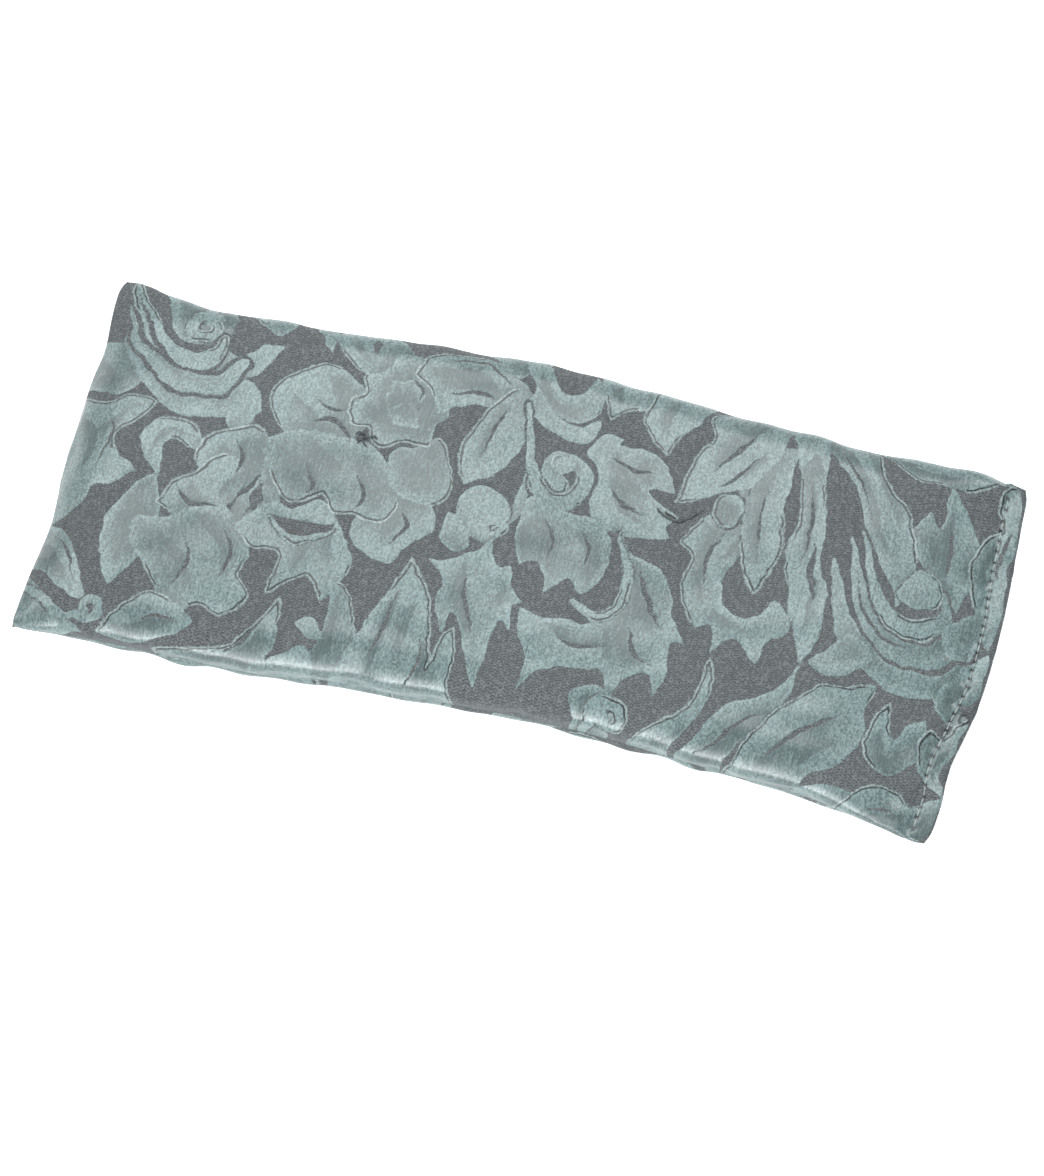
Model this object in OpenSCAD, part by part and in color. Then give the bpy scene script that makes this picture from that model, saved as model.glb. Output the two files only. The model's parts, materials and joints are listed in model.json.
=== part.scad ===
// Eye pillow: a woven jacquard cover holding an inner pouch of flax seed and
// lavender. It lies on its back panel on z = 0, centred on the z axis, with its
// long axis along X and its topstitched closing at +X. The seed fills two lobes,
// left at -X and right at +X.

/* [Cover] */
// Finished length between the two end seams
pillow_len = 229; // [200:1:255]
// Finished width between the two long seams
pillow_wid = 97; // [80:1:110]
// Thickness at the crown when lying flat
pillow_thk = 15; // [12:0.5:20]
// Thickness of the jacquard cloth
cover_t = 0.5; // [0.4:0.05:0.7]
// Height of the seam line above the table
seam_z = 4.4; // [3.6:0.1:5.5]
// Width of the turned-in seam allowance
allowance = 6; // [5:0.5:6.5]
// Distance of the closing topstitch from the end
hem = 4.4; // [3.5:0.1:5]
// Rounding of the corners, seen from above
corner_pull = 2; // [1:0.25:3]

/* [Inner pouch] */
// Gap from the cover edge to the pouch edge
pouch_inset = 7.4; // [7.2:0.1:10]
// Thickness of the plain-weave pouch cloth
pouch_t = 0.3; // [0.2:0.05:0.4]
// Width of the flat sewn edge of the pouch
pouch_band = 2.6; // [2:0.1:4]
// Clearance between layers of cloth
layer_gap = 0.15; // [0.1:0.05:0.3]

/* [Filling] */
// Half the width of the empty strip of the nose-bridge fold
fold_gap = 3; // [2.5:0.5:6]
// Distance over which a seed lobe thins towards the fold
fold_ramp = 11; // [9:1:16]
// Lavender buds in each lobe
buds = 12; // [4:1:16]
// Length of one lavender bud
bud_len = 5; // [4:0.5:6]
// Diameter of one lavender bud
bud_d = 2; // [1.6:0.1:2.4]

/* [Thread] */
// Diameter of the sewing thread
thread_d = 0.3; // [0.2:0.05:0.4]
// Stitch length of the hidden seams
seam_pitch = 2.5; // [2:0.1:3.5]
// Stitch length of the closing topstitch
top_pitch = 2.6; // [2:0.1:3.5]

/* [Hidden] */

front_cloth = [0.55, 0.64, 0.64];
back_cloth = [0.40, 0.42, 0.44];
muslin = [0.90, 0.87, 0.78];
celadon = [0.66, 0.75, 0.70];

// Cover
half_len = pillow_len / 2;
half_wid = pillow_wid / 2;
closing_x = half_len - hem;                 // line of the closing topstitch
edge_top = seam_z + 2 * cover_t;            // two layers of cloth above the seam
edge_bot = seam_z - 2 * cover_t;            // and two below it
dome_end = 30;                              // the dome is full this far inside an end
dome_side = 27;                             // and this far inside a long side
crown_droop = 0.05;                         // share of height the dome loses across Y
back_curve = 13;                            // the back comes down to the table over this width

// Pouch
pouch_x0 = -half_len + pouch_inset;
pouch_x1 = closing_x - 4.2;
pouch_half_wid = half_wid - pouch_inset;
pouch_curve = 9;                            // the pouch swells over this width

// Seed
seed_inset = pouch_band + 1.5;              // from the pouch edge
seed_x0 = pouch_x0 + seed_inset;
seed_x1 = pouch_x1 - seed_inset;
seed_half_wid = pouch_half_wid - seed_inset;
seed_gap = 0.45;                            // slack between the seed and the pouch cloth
seed_curve = 8;                             // a lobe swells over this width
seed_rim = 0.3;                             // half the thickness of a lobe's rim

// ---- Surfaces, as heights over the table ----

// A quarter-round ramp from 0 at s = 0 to 1 at s = 1.
function ramp(s) = s <= 0 ? 0 : s >= 1 ? 1 : pow(1 - pow(1 - s, 2.4), 0.72);
// 0 at the edge of the area x0..x1 by -half_y..half_y and outside it, 1 well inside.
function swell(x, y, x0, x1, half_y, end_width, side_width) =
    ramp((x - x0) / end_width) * ramp((x1 - x) / end_width)
    * ramp((half_y - abs(y)) / side_width);
function blend(from, to, share) = from + (to - from) * share;

function cover_swell(x, y, end_width, side_width) =
    swell(x, y, -half_len, closing_x, half_wid, end_width, side_width);
function cover_top(x, y) = blend(edge_top, pillow_thk,
    cover_swell(x, y, dome_end, dome_side) * (1 - crown_droop * pow(y / half_wid, 2)));
function cover_bot(x, y) = edge_bot * (1 - cover_swell(x, y, back_curve, back_curve));

// The pouch follows the inside of the cover.
function pouch_swell(x, y) = swell(x, y, pouch_x0 + pouch_band, pouch_x1 - pouch_band,
    pouch_half_wid - pouch_band, pouch_curve, pouch_curve);
function pouch_top(x, y) =
    blend(seam_z + pouch_t, cover_top(x, y) - cover_t - layer_gap, pouch_swell(x, y));
function pouch_bot(x, y) =
    blend(seam_z - pouch_t, cover_bot(x, y) + cover_t + layer_gap, pouch_swell(x, y));

// A seed lobe thins to a blunt edge all round and towards the fold.
function seed_swell(x, y) =
    swell(x, y, seed_x0, seed_x1, seed_half_wid, seed_curve, seed_curve)
    * ramp((abs(x) - fold_gap) / fold_ramp);
function seed_top(x, y) =
    blend(seam_z + seed_rim, pouch_top(x, y) - pouch_t - seed_gap, seed_swell(x, y));
function seed_bot(x, y) =
    blend(seam_z - seed_rim, pouch_bot(x, y) + pouch_t + seed_gap, seed_swell(x, y));

// ---- Sheets ----

// Point i of 0..n on -1..1, bunched towards both ends.
function bunch(i, n) = sin(-90 + 180 * i / n) * 0.55 + (-1 + 2 * i / n) * 0.45;

// Triangles of an nx by ny grid whose points start at index first, facing up or down.
function grid_faces(nx, ny, first, up) = [
    for (j = [0:ny - 1]) for (i = [0:nx - 1]) for (half = [0, 1])
        let (near = first + j * (nx + 1) + i,
             far = near + nx + 1,
             face = half == 0 ? [near, near + 1, far + 1] : [near, far + 1, far])
        up ? [face[2], face[1], face[0]] : face];
// Indices of the points round the grid's border.
function border(nx, ny) = concat(
    [for (i = [0:nx - 1]) i],
    [for (j = [0:ny - 1]) j * (nx + 1) + nx],
    [for (i = [0:nx - 1]) ny * (nx + 1) + nx - i],
    [for (j = [0:ny - 1]) (ny - j) * (nx + 1)]);

// A solid over a grid of [x, y] points, between lists of upper and lower heights.
module sheet(grid, upper, lower, nx, ny) {
    count = len(grid);
    loop = border(nx, ny);
    walls = [for (i = [0:len(loop) - 1])
        let (this = loop[i], next = loop[(i + 1) % len(loop)])
        each [[count + next, count + this, this], [next, count + next, this]]];
    polyhedron(
        points = concat(
            [for (i = [0:count - 1]) [grid[i][0], grid[i][1], upper[i]]],
            [for (i = [0:count - 1]) [grid[i][0], grid[i][1], lower[i]]]),
        faces = concat(grid_faces(nx, ny, 0, true), grid_faces(nx, ny, count, false), walls),
        convexity = 6);
}

// ---- Cover panels ----

cover_nx = 44;
cover_ny = 22;
turn_overlap = 0.02;    // the turned edge sinks this far into its panel

// Maps u, v in -1..1 to the cover's plan, with softly rounded corners.
function cover_plan(u, v) = [
    u * (half_len - corner_pull * pow(abs(v), 14)),
    v * (half_wid - corner_pull * pow(abs(u), 30))];
// Grid columns: bunched up to the closing topstitch, then two across the flat hem.
function cover_column(i) = i <= cover_nx - 2
    ? -1 + (bunch(i, cover_nx - 2) + 1) * (1 - hem / half_len / 2)
    : 1 - (cover_nx - i) * hem / half_len / 2;
cover_grid = [for (j = [0:cover_ny]) for (i = [0:cover_nx])
    cover_plan(cover_column(i), bunch(j, cover_ny))];

function cover_outline(n) = concat(
    [for (i = [0:n - 1]) cover_plan(bunch(i, n), -1)],
    [for (i = [0:n - 1]) cover_plan(1, bunch(i, n))],
    [for (i = [0:n - 1]) cover_plan(-bunch(i, n), 1)],
    [for (i = [0:n - 1]) cover_plan(-1, -bunch(i, n))]);

// The allowance turned in along the edge, as a flat ring.
module turned_edge(z) {
    translate([0, 0, z]) linear_extrude(cover_t + turn_overlap) difference() {
        polygon(cover_outline(20));
        square([2 * (half_len - allowance), 2 * (half_wid - allowance)], center = true);
    }
}

module front_panel() {
    upper = [for (p = cover_grid) cover_top(p[0], p[1])];
    color(front_cloth) union() {
        sheet(cover_grid, upper, [for (z = upper) z - cover_t], cover_nx, cover_ny);
        turned_edge(seam_z);
    }
}
module back_panel() {
    lower = [for (p = cover_grid) cover_bot(p[0], p[1])];
    color(back_cloth) union() {
        sheet(cover_grid, [for (z = lower) z + cover_t], lower, cover_nx, cover_ny);
        turned_edge(seam_z - cover_t - turn_overlap);
    }
}

// ---- Pouch panels ----

pouch_nx = 32;
pouch_ny = 16;
pouch_grid = [for (j = [0:pouch_ny]) for (i = [0:pouch_nx])
    [(pouch_x0 + pouch_x1) / 2 + bunch(i, pouch_nx) * (pouch_x1 - pouch_x0) / 2,
     bunch(j, pouch_ny) * pouch_half_wid]];

module pouch_front() {
    upper = [for (p = pouch_grid) pouch_top(p[0], p[1])];
    color(muslin)
        sheet(pouch_grid, upper, [for (z = upper) z - pouch_t], pouch_nx, pouch_ny);
}
module pouch_back() {
    lower = [for (p = pouch_grid) pouch_bot(p[0], p[1])];
    color(muslin)
        sheet(pouch_grid, [for (z = lower) z + pouch_t], lower, pouch_nx, pouch_ny);
}

// ---- Stitching ----

needle = 1;             // the needle thread lies above the seam line
bobbin = -1;            // the bobbin thread lies below it
dip_gap = 0.03;         // from the seam line to a thread's dips
cover_seam_inset = 2.1; // from the cover edge
cover_seam_stop = 1.5;  // the long seams end this far short of the topstitch
closing_margin = 4;     // from the ends of the topstitch to the long edges
pouch_seam_inset = pouch_band / 2;
pouch_seam_stop = 1;    // the long seams end this far short of the pouch closing
pouch_closing_margin = 3;

// A lockstitch thread along X from x0 to x1. Its bights stand off the seam line by
// bight, on the side given by side, and it dips back to the line between them.
module stitch_run(x0, x1, pitch, side, bight) {
    count = max(1, floor((x1 - x0) / pitch));
    step = (x1 - x0) / count;
    high = seam_z + side * bight;
    low = seam_z + side * dip_gap;
    rise = side * thread_d;
    slant = thread_d * 0.3;
    outer = [for (i = [0:count - 1]) let (x = x0 + i * step)
        each [[x + 0.12 * step, high + rise],
              [x + 0.88 * step, high + rise],
              [x + step, low + rise]]];
    inner = [for (i = [count - 1:-1:0]) let (x = x0 + i * step)
        each [[x + 0.88 * step - slant, high],
              [x + 0.12 * step + slant, high],
              [x, low]]];
    rotate([90, 0, 0]) translate([0, 0, -thread_d / 2]) linear_extrude(thread_d)
        polygon(concat([[x0, low + rise]], outer, [[x1, low]], inner));
}
// The same along Y from -half_y to half_y, at a given x.
module stitch_cross(x, half_y, pitch, side, bight) {
    translate([x, 0, 0]) rotate([0, 0, 90]) stitch_run(-half_y, half_y, pitch, side, bight);
}
// Both long sides and the -X end of a rectangle.
module stitch_u(x0, x1, half_y, side, bight) {
    for (s = [-1, 1]) translate([0, s * half_y, 0])
        stitch_run(x0 - thread_d / 2, x1, seam_pitch, side, bight);
    stitch_cross(x0, half_y + thread_d / 2, seam_pitch, side, bight);
}

module cover_seam(side)
    stitch_u(-half_len + cover_seam_inset, closing_x - cover_seam_stop,
        half_wid - cover_seam_inset, side, bight = cover_t + 0.05);
module cover_closing(side)
    stitch_cross(closing_x, half_wid - closing_margin, top_pitch, side, bight = 2 * cover_t);
module pouch_seam(side)
    stitch_u(pouch_x0 + pouch_seam_inset, pouch_x1 - pouch_seam_inset - pouch_seam_stop,
        pouch_half_wid - pouch_seam_inset, side, bight = pouch_t);
module pouch_closing(side)
    stitch_cross(pouch_x1 - pouch_seam_inset, pouch_half_wid - pouch_closing_margin,
        seam_pitch, side, bight = pouch_t);

module cover_needle_thread() color(celadon) cover_seam(needle);
module cover_bobbin_thread() color(celadon) cover_seam(bobbin);
module closing_needle_thread() color(celadon) cover_closing(needle);
module closing_bobbin_thread() color(celadon) cover_closing(bobbin);
module pouch_needle_thread() color("ivory") pouch_seam(needle);
module pouch_bobbin_thread() color("ivory") pouch_seam(bobbin);
module pouch_closing_needle_thread() color("ivory") pouch_closing(needle);
module pouch_closing_bobbin_thread() color("ivory") pouch_closing(bobbin);

// ---- Seed and lavender ----

left = -1;
right = 1;
bud_clear = 0.25;       // between a bud and its pocket
pocket_h = 12;          // tall enough to break out of the seed's top
bud_cols = ceil(buds / 3);
bud_start = [-24, -20, 9.4];
bud_span = 62;          // from the first column to the last
bud_row_pitch = 19;
bud_stagger = 4;
bud_z_step = 0.9;
bud_turn = 47;          // degrees from one bud to the next

// Places in the left lobe, on a loose staggered grid: [x, y, z, turn about Z].
bud_places = [for (k = [0:buds - 1])
    let (col = k % bud_cols, row = floor(k / bud_cols))
    [bud_start[0] - col * bud_span / max(1, bud_cols - 1) - (row % 2) * bud_stagger,
     bud_start[1] + row * bud_row_pitch + (col % 2) * bud_stagger,
     bud_start[2] + (k % 3) * bud_z_step,
     k * bud_turn]];
// Half section of a bud: [radius / bud_d, distance along it / bud_len].
bud_profile = [[0, -0.5], [0.32, -0.4], [0.5, -0.1], [0.46, 0.2], [0.3, 0.4],
    [0.14, 0.5], [0, 0.5]];

module at_buds(side) {
    for (p = bud_places)
        translate([-side * p[0], p[1], p[2]]) rotate([0, 0, p[3]]) children();
}
module lavender_bud() rotate([0, 90, 0]) rotate_extrude($fn = 24)
    polygon([for (p = bud_profile) [p[0] * bud_d, p[1] * bud_len]]);
// The hollow a bud lies in, open to the top of the seed.
module bud_pocket() {
    width = bud_d + 2 * bud_clear;
    translate([-bud_len / 2 - bud_clear, -width / 2, -width / 2])
        cube([bud_len + 2 * bud_clear, width, pocket_h]);
}

module seed_lobe(side) {
    nx = 20;
    ny = 14;
    x0 = side == left ? seed_x0 : fold_gap;
    x1 = side == left ? -fold_gap : seed_x1;
    grid = [for (j = [0:ny]) for (i = [0:nx])
        [(x0 + x1) / 2 + bunch(i, nx) * (x1 - x0) / 2, bunch(j, ny) * seed_half_wid]];
    sheet(grid, [for (p = grid) seed_top(p[0], p[1])],
        [for (p = grid) seed_bot(p[0], p[1])], nx, ny);
}
module flax_seed(side) color("saddlebrown") difference() {
    seed_lobe(side);
    at_buds(side) bud_pocket();
}
module flax_seed_left() flax_seed(left);
module flax_seed_right() flax_seed(right);
// The left places serve both lobes: at_buds keeps their x on the left and negates it
// on the right.
module lavender_buds_left() color("mediumpurple") at_buds(left) mirror_free_bud();
module lavender_buds_right() color("mediumpurple") at_buds(right) mirror_free_bud();
// Buds move across without being mirrored, so both lobes share the same turns.
module mirror_free_bud() lavender_bud();

// ---- Loose thread ----

snag_d = 0.28;
loop_d = 0.34;
loop_radius = 1.3;

// A bent end of thread lying on the cover, swept from angle start about [x, y].
module loose_arc(x, y, radius, start, sweep) {
    translate([x, y, cover_top(x, y) + snag_d * 0.9]) rotate([0, 0, start])
        rotate_extrude(angle = sweep, $fn = 40)
            translate([radius, 0]) circle(d = snag_d, $fn = 16);
}
module thread_snag_left() color("dimgray") {
    loose_arc(-45.6, 13.8, radius = 2.2, start = 35, sweep = 110);
    loose_arc(-41.8, 11.6, radius = 2.6, start = 60, sweep = 100);
}
module thread_snag_right() color("dimgray")
    loose_arc(34.9, 17.6, radius = 3.2, start = 205, sweep = 95);
// A ring of thread lying on the flat hem.
module closing_thread_loop() color("dimgray")
    translate([half_len - 2.1, -16, edge_top + 0.25]) rotate_extrude($fn = 40)
        translate([loop_radius, 0]) circle(d = loop_d, $fn = 16);

front_panel();
back_panel();
cover_needle_thread();
cover_bobbin_thread();
closing_needle_thread();
closing_bobbin_thread();
pouch_front();
pouch_back();
pouch_needle_thread();
pouch_bobbin_thread();
pouch_closing_needle_thread();
pouch_closing_bobbin_thread();
flax_seed_left();
flax_seed_right();
lavender_buds_left();
lavender_buds_right();
thread_snag_left();
thread_snag_right();
closing_thread_loop();
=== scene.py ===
"""A rectangular jacquard bag filled with seed, lying flat with its long side along X.

The front panel faces up (+Z) and the back panel lies on the floor. Left is -X, right is +X,
near is -Y and far is +Y. A topstitch across the right end closes the cover. A muslin pouch
inside holds two heaps of seed, and the bag can fold across its middle. Shapes are worked out
in millimetres and turned into metres when their meshes are made.
"""
import json
import math

import bmesh
import bpy
import numpy as np
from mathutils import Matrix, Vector

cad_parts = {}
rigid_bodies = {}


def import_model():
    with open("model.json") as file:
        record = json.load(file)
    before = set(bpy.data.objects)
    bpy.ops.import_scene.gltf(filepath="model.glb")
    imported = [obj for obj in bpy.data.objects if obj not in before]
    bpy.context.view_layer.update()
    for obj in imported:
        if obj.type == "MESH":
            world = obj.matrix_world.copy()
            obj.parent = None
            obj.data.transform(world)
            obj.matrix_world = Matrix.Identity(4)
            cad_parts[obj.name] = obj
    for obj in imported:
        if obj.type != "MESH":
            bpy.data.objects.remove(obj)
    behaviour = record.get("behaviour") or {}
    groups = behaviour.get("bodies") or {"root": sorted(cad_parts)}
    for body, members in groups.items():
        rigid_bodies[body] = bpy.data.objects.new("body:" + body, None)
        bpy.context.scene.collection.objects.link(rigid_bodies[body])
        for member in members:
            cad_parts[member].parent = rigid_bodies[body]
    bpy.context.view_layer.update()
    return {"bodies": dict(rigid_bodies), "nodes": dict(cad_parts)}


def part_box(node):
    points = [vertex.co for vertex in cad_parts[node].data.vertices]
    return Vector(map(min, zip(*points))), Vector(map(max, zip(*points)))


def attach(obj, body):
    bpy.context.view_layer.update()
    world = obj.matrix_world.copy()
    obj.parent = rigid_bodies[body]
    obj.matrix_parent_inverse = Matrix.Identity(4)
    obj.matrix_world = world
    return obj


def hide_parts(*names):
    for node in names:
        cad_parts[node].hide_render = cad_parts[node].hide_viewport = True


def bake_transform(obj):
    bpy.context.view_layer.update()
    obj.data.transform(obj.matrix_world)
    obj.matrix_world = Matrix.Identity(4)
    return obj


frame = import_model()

# ---- driving sizes, in millimetres ----
panel_low, panel_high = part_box("back_panel")
stitch_low, stitch_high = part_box("closing_needle_thread")
HALF_X = (panel_high[0] - panel_low[0]) * 500.0
HALF_Y = (panel_high[1] - panel_low[1]) * 500.0
SEAM_Z = panel_high[2] * 1000.0
HEM = HALF_X - (stitch_low[0] + stitch_high[0]) * 500.0    # right edge to closing topstitch
STITCH_X = HALF_X - HEM
CLOTH_THICK = 0.5
MUSLIN_THICK = 0.28

# The two halves either side of the bridge fold.
LEFT, RIGHT = "left_lobe", "right_lobe"

# Cloth cut beyond the half sizes, taken up as the bag fills.
SPARE_LEFT, SPARE_RIGHT, SPARE_SIDE = 3.2, 1.6, 6.0

# Cells of the relaxed sheets, and fine cells to each of them.
COLUMNS, ROWS, FINE = 116, 50, 4
FINE_COLUMNS, FINE_ROWS = COLUMNS * FINE + 1, ROWS * FINE + 1
GRID_X, GRID_Y = np.meshgrid(np.linspace(-HALF_X, HALF_X, FINE_COLUMNS),
                             np.linspace(-HALF_Y, HALF_Y, FINE_ROWS))


# ---- curves and fields ----
def ramp(value, width=1.0):
    """A smooth rise from 0 to 1 over a width."""
    s = np.clip(value / width, 0, 1)
    return s * s * (3 - 2 * s)


def lumps(x, y, seed, count, waves):
    """A smooth random field, about -1..1: plane waves of lengths between the two in waves."""
    rng = np.random.default_rng(seed)
    out = np.zeros_like(x)
    for _ in range(count):
        k = 2 * np.pi / rng.uniform(*waves)
        angle = rng.uniform(0, 2 * np.pi)
        out += np.sin(k * (x * np.cos(angle) + y * np.sin(angle)) + rng.uniform(0, 2 * np.pi))
    return out / np.sqrt(count)


def parse(text):
    """The points of a path written "x,y x,y ..."; a * after a point is left out."""
    return np.array([[float(n) for n in word.strip("*").split(",")] for word in text.split()])


def smooth_path(points, per_span, closed=False):
    """A Catmull-Rom curve through points."""
    points = np.asarray(points, float)
    if closed:
        padded = np.vstack([points[-1], points, points[0], points[1]])
    else:
        padded = np.vstack([2 * points[0] - points[1], points, 2 * points[-1] - points[-2]])
    t = np.linspace(0, 1, per_span, endpoint=False)[:, None]
    out = []
    for a, b, c, d in zip(padded, padded[1:], padded[2:], padded[3:]):
        out.append(0.5 * (2 * b + (c - a) * t + (2 * a - 5 * b + 4 * c - d) * t ** 2
                          + (3 * b - a - 3 * c + d) * t ** 3))
    if not closed:
        out.append(padded[-2][None])
    return np.vstack(out)


def curve(text):
    return smooth_path(parse(text), 7)


def outline(text):
    """A closed outline through the points of a path; points marked * are sharp tips."""
    points = parse(text)
    sharp = [i for i, word in enumerate(text.split()) if "*" in word]
    if not sharp:
        return smooth_path(points, 6, closed=True)
    first = sharp[0]
    loop = np.vstack([points[first:], points[:first + 1]])
    tips = [i - first for i in sharp] + [len(points)]
    return np.vstack([smooth_path(loop[a:b + 1], 6)[:-1] for a, b in zip(tips, tips[1:])])


def leaf_outline(base, tip, half_width, bow):
    """A pointed leaf from base to tip, its midline bowed sideways."""
    base, tip = np.array(base, float), np.array(tip, float)
    span = tip - base
    sideways = np.array([-span[1], span[0]]) / np.hypot(*span)
    t = np.linspace(0, 1, 24)[:, None]
    midline = base + span * t + sideways * (bow * 4 * t * (1 - t))
    along = np.gradient(midline, axis=0)
    along /= np.maximum(np.hypot(along[:, 0], along[:, 1])[:, None], 1e-9)
    across = np.stack([-along[:, 1], along[:, 0]], 1)
    width = np.sin(np.pi * t ** 0.75) ** 0.9 * half_width
    return np.vstack([midline + across * width, (midline - across * width)[-2:0:-1]])


def petal_outline(cx, cy, angle, inner, outer, half_width, ruffle, ruffles=5):
    """A broad petal that points at an angle in degrees, between two distances from (cx, cy)."""
    t = np.linspace(0, 2 * np.pi, 56, endpoint=False)
    middle, half = (inner + outer) / 2, (outer - inner) / 2
    wave = ruffle * np.cos(ruffles * t)
    x = middle + half * np.cos(t) * (1 + wave * (np.cos(t) > -0.3))
    y = half_width * np.sin(t) * (1 + 0.28 * np.cos(t)) * (1 + wave)
    ca, sa = np.cos(np.radians(angle)), np.sin(np.radians(angle))
    return np.stack([cx + x * ca - y * sa, cy + x * sa + y * ca], 1)


def spiral(centre, radii, start, turns):
    """A spiral from the first radius to the second, from a start angle in degrees."""
    t = np.linspace(0, 1, 30)
    angle = np.radians(start) + turns * 2 * np.pi * t
    radius = radii[0] + (radii[1] - radii[0]) * t
    return np.stack([centre[0] + radius * np.cos(angle), centre[1] + radius * np.sin(angle)], 1)


def spread(widths, count):
    return np.interp(np.linspace(0, 1, count), np.linspace(0, 1, len(widths)), widths)


def to_segment(x, y, start, end):
    """The place of the nearest point of a segment, 0..1, and the offset from it."""
    (ax, ay), (bx, by) = start, end
    ex, ey = bx - ax, by - ay
    q = np.clip(((x - ax) * ex + (y - ay) * ey) / max(ex * ex + ey * ey, 1e-9), 0, 1)
    return q, x - ax - q * ex, y - ay - q * ey


# ---- the woven pattern ----
class Weave:
    """Paints motifs one over another on the flat cloth, all in millimetres.

    satin: signed distance into the satin (+) or into the ground (-).
    tone: how far the satin is let down with ground yarns, which draws folds.
    cord_distance, cord_strength: distance to a motif's edge, and how strongly it is corded.
    Motifs take a gap of ground round them, the strength of their cord, the side it runs on
    (a direction in radians) and the shadow they throw on the satin below.
    """

    def __init__(self, x, y, seed):
        # outlines wander a little, as a drawn design does
        broad, fine = {"count": 14, "waves": (9, 22)}, {"count": 18, "waves": (2.4, 5.5)}
        self.x = x + 0.55 * lumps(x, y, seed + 40, **broad) + 0.16 * lumps(x, y, seed + 41, **fine)
        self.y = y + 0.55 * lumps(x, y, seed + 42, **broad) + 0.16 * lumps(x, y, seed + 43, **fine)
        self.satin = np.full(x.shape, -4.0)
        self.tone = np.zeros(x.shape)
        self.cord_distance = np.full(x.shape, 9.0)
        self.cord_strength = np.zeros(x.shape)
        self.rng = np.random.default_rng(seed)

    def turn_half_round(self):
        self.x, self.y = -self.x, -self.y

    def window(self, points, margin, widest=0.0):
        """Grid places within a margin of the box round some points."""
        low, high = points.min(0) - widest, points.max(0) + widest
        return np.nonzero((self.x > low[0] - margin) & (self.x < high[0] + margin)
                          & (self.y > low[1] - margin) & (self.y < high[1] + margin))

    def polygon(self, points, margin):
        """The places round a closed polygon and their distance to it, negative inside."""
        places = self.window(points, margin)
        x, y = self.x[places], self.y[places]
        best = np.full(x.shape, 1e9)
        inside = np.zeros(x.shape, bool)
        for start, end in zip(points, np.roll(points, -1, 0)):
            _, dx, dy = to_segment(x, y, start, end)
            best = np.minimum(best, dx ** 2 + dy ** 2)
            (ax, ay), (bx, by) = start, end
            if ay != by:
                crossing = (bx - ax) * (y - ay) / (by - ay) + ax
                inside ^= ((ay > y) != (by > y)) & (x < crossing)
        distance = np.sqrt(best)
        return places, np.where(inside, -distance, distance)

    def sweep(self, path, widths, margin):
        """The places round a stroke of given half widths, their distance to its edge,
        how far along it they are (0..1) and how far across (-1..1 inside)."""
        places = self.window(path, margin, max(widths))
        half = spread(widths, len(path))
        x, y = self.x[places], self.y[places]
        best = np.full(x.shape, 1e9)
        along, across = np.zeros(x.shape), np.zeros(x.shape)
        for i, (start, end) in enumerate(zip(path, path[1:])):
            q, dx, dy = to_segment(x, y, start, end)
            width = half[i] + (half[i + 1] - half[i]) * q
            reach = np.hypot(dx, dy)
            nearer = reach - width < best
            (ax, ay), (ex, ey) = start, end - start
            turn = np.sign(ex * (y - ay) - ey * (x - ax))
            along = np.where(nearer, (i + q) / (len(path) - 1), along)
            across = np.where(nearer, turn * reach / np.maximum(width, 0.3), across)
            best = np.minimum(best, reach - width)
        return places, best, along, across

    def paint(self, distance, places, tone, gap=0.0, cord=0.0, side=0.0, shadow=0.5):
        satin = self.satin[places]
        below = np.minimum(satin, distance - gap) if gap else satin
        self.satin[places] = np.maximum(below, -distance)
        inside = distance < 0
        x, y = self.x[places], self.y[places]
        cx, cy = (x[inside].mean(), y[inside].mean()) if inside.any() else (0, 0)
        shaded = shadow * np.exp(-np.maximum(distance, 0) / 1.5) * (satin > 0)
        edge = np.clip(1 + distance / 0.9, 0, 1)
        tone = tone * (1 - edge) - 0.12 * edge
        self.tone[places] = np.where(inside, tone, self.tone[places] + shaded)
        # the corded outline runs along one flank only
        flank = ((x - cx) * np.cos(side) + (y - cy) * np.sin(side)) / 4.0
        near = np.abs(distance) < 2.0
        self.cord_strength[places] = np.where(near & (distance < 1.2), cord * np.clip(flank, 0, 1),
                                              self.cord_strength[places])
        self.cord_distance[places] = np.where(near | inside, distance, self.cord_distance[places])

    def add(self, points, tone=0.0, core=0.0, shade=None, **style):
        """Fills a polygon; core lets its middle down and shade is a further tone."""
        places, distance = self.polygon(points, 4.5)
        x, y = self.x[places], self.y[places]
        tone = tone + core * ramp(-distance, 4.5)
        if shade is not None:
            tone = tone + shade(x, y)
        angle = self.rng.uniform(0, 2 * np.pi)
        radius = max(np.ptp(points, axis=0)) / 2
        tone = tone + 0.22 * ((x - points[:, 0].mean()) * np.cos(angle)
                              + (y - points[:, 1].mean()) * np.sin(angle)) / radius
        self.paint(distance, places, tone, **style)

    def stroke(self, path, widths, tone=0.0, core=0.0, **style):
        places, distance, _, across = self.sweep(path, widths, 4.5)
        s = np.clip(-distance / 3.0, 0, 1)
        self.paint(distance, places, tone + core * s * s + 0.18 * across, **style)

    def line(self, text, widths, **style):
        self.stroke(curve(text), widths, **style)

    def scroll(self, text, widths, centre, radii, start, turns, curl_widths, **style):
        """A stem that runs into a spiral curl."""
        curl = spiral(centre, radii, start, turns)
        stem = smooth_path(np.vstack([parse(text), curl[:1]]), 7)[:-1]
        widths = np.concatenate([spread(widths, len(stem)), spread(curl_widths, len(curl))])
        self.stroke(np.vstack([stem, curl]), widths, **style)

    def cut(self, text, widths):
        """A tapering ground line drawn through the satin."""
        places, distance, _, _ = self.sweep(curve(text), widths, 2.0)
        self.satin[places] = np.minimum(self.satin[places], distance)

    def hole(self, points):
        places, distance = self.polygon(points, 2.5)
        self.satin[places] = np.minimum(self.satin[places], distance)

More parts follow.
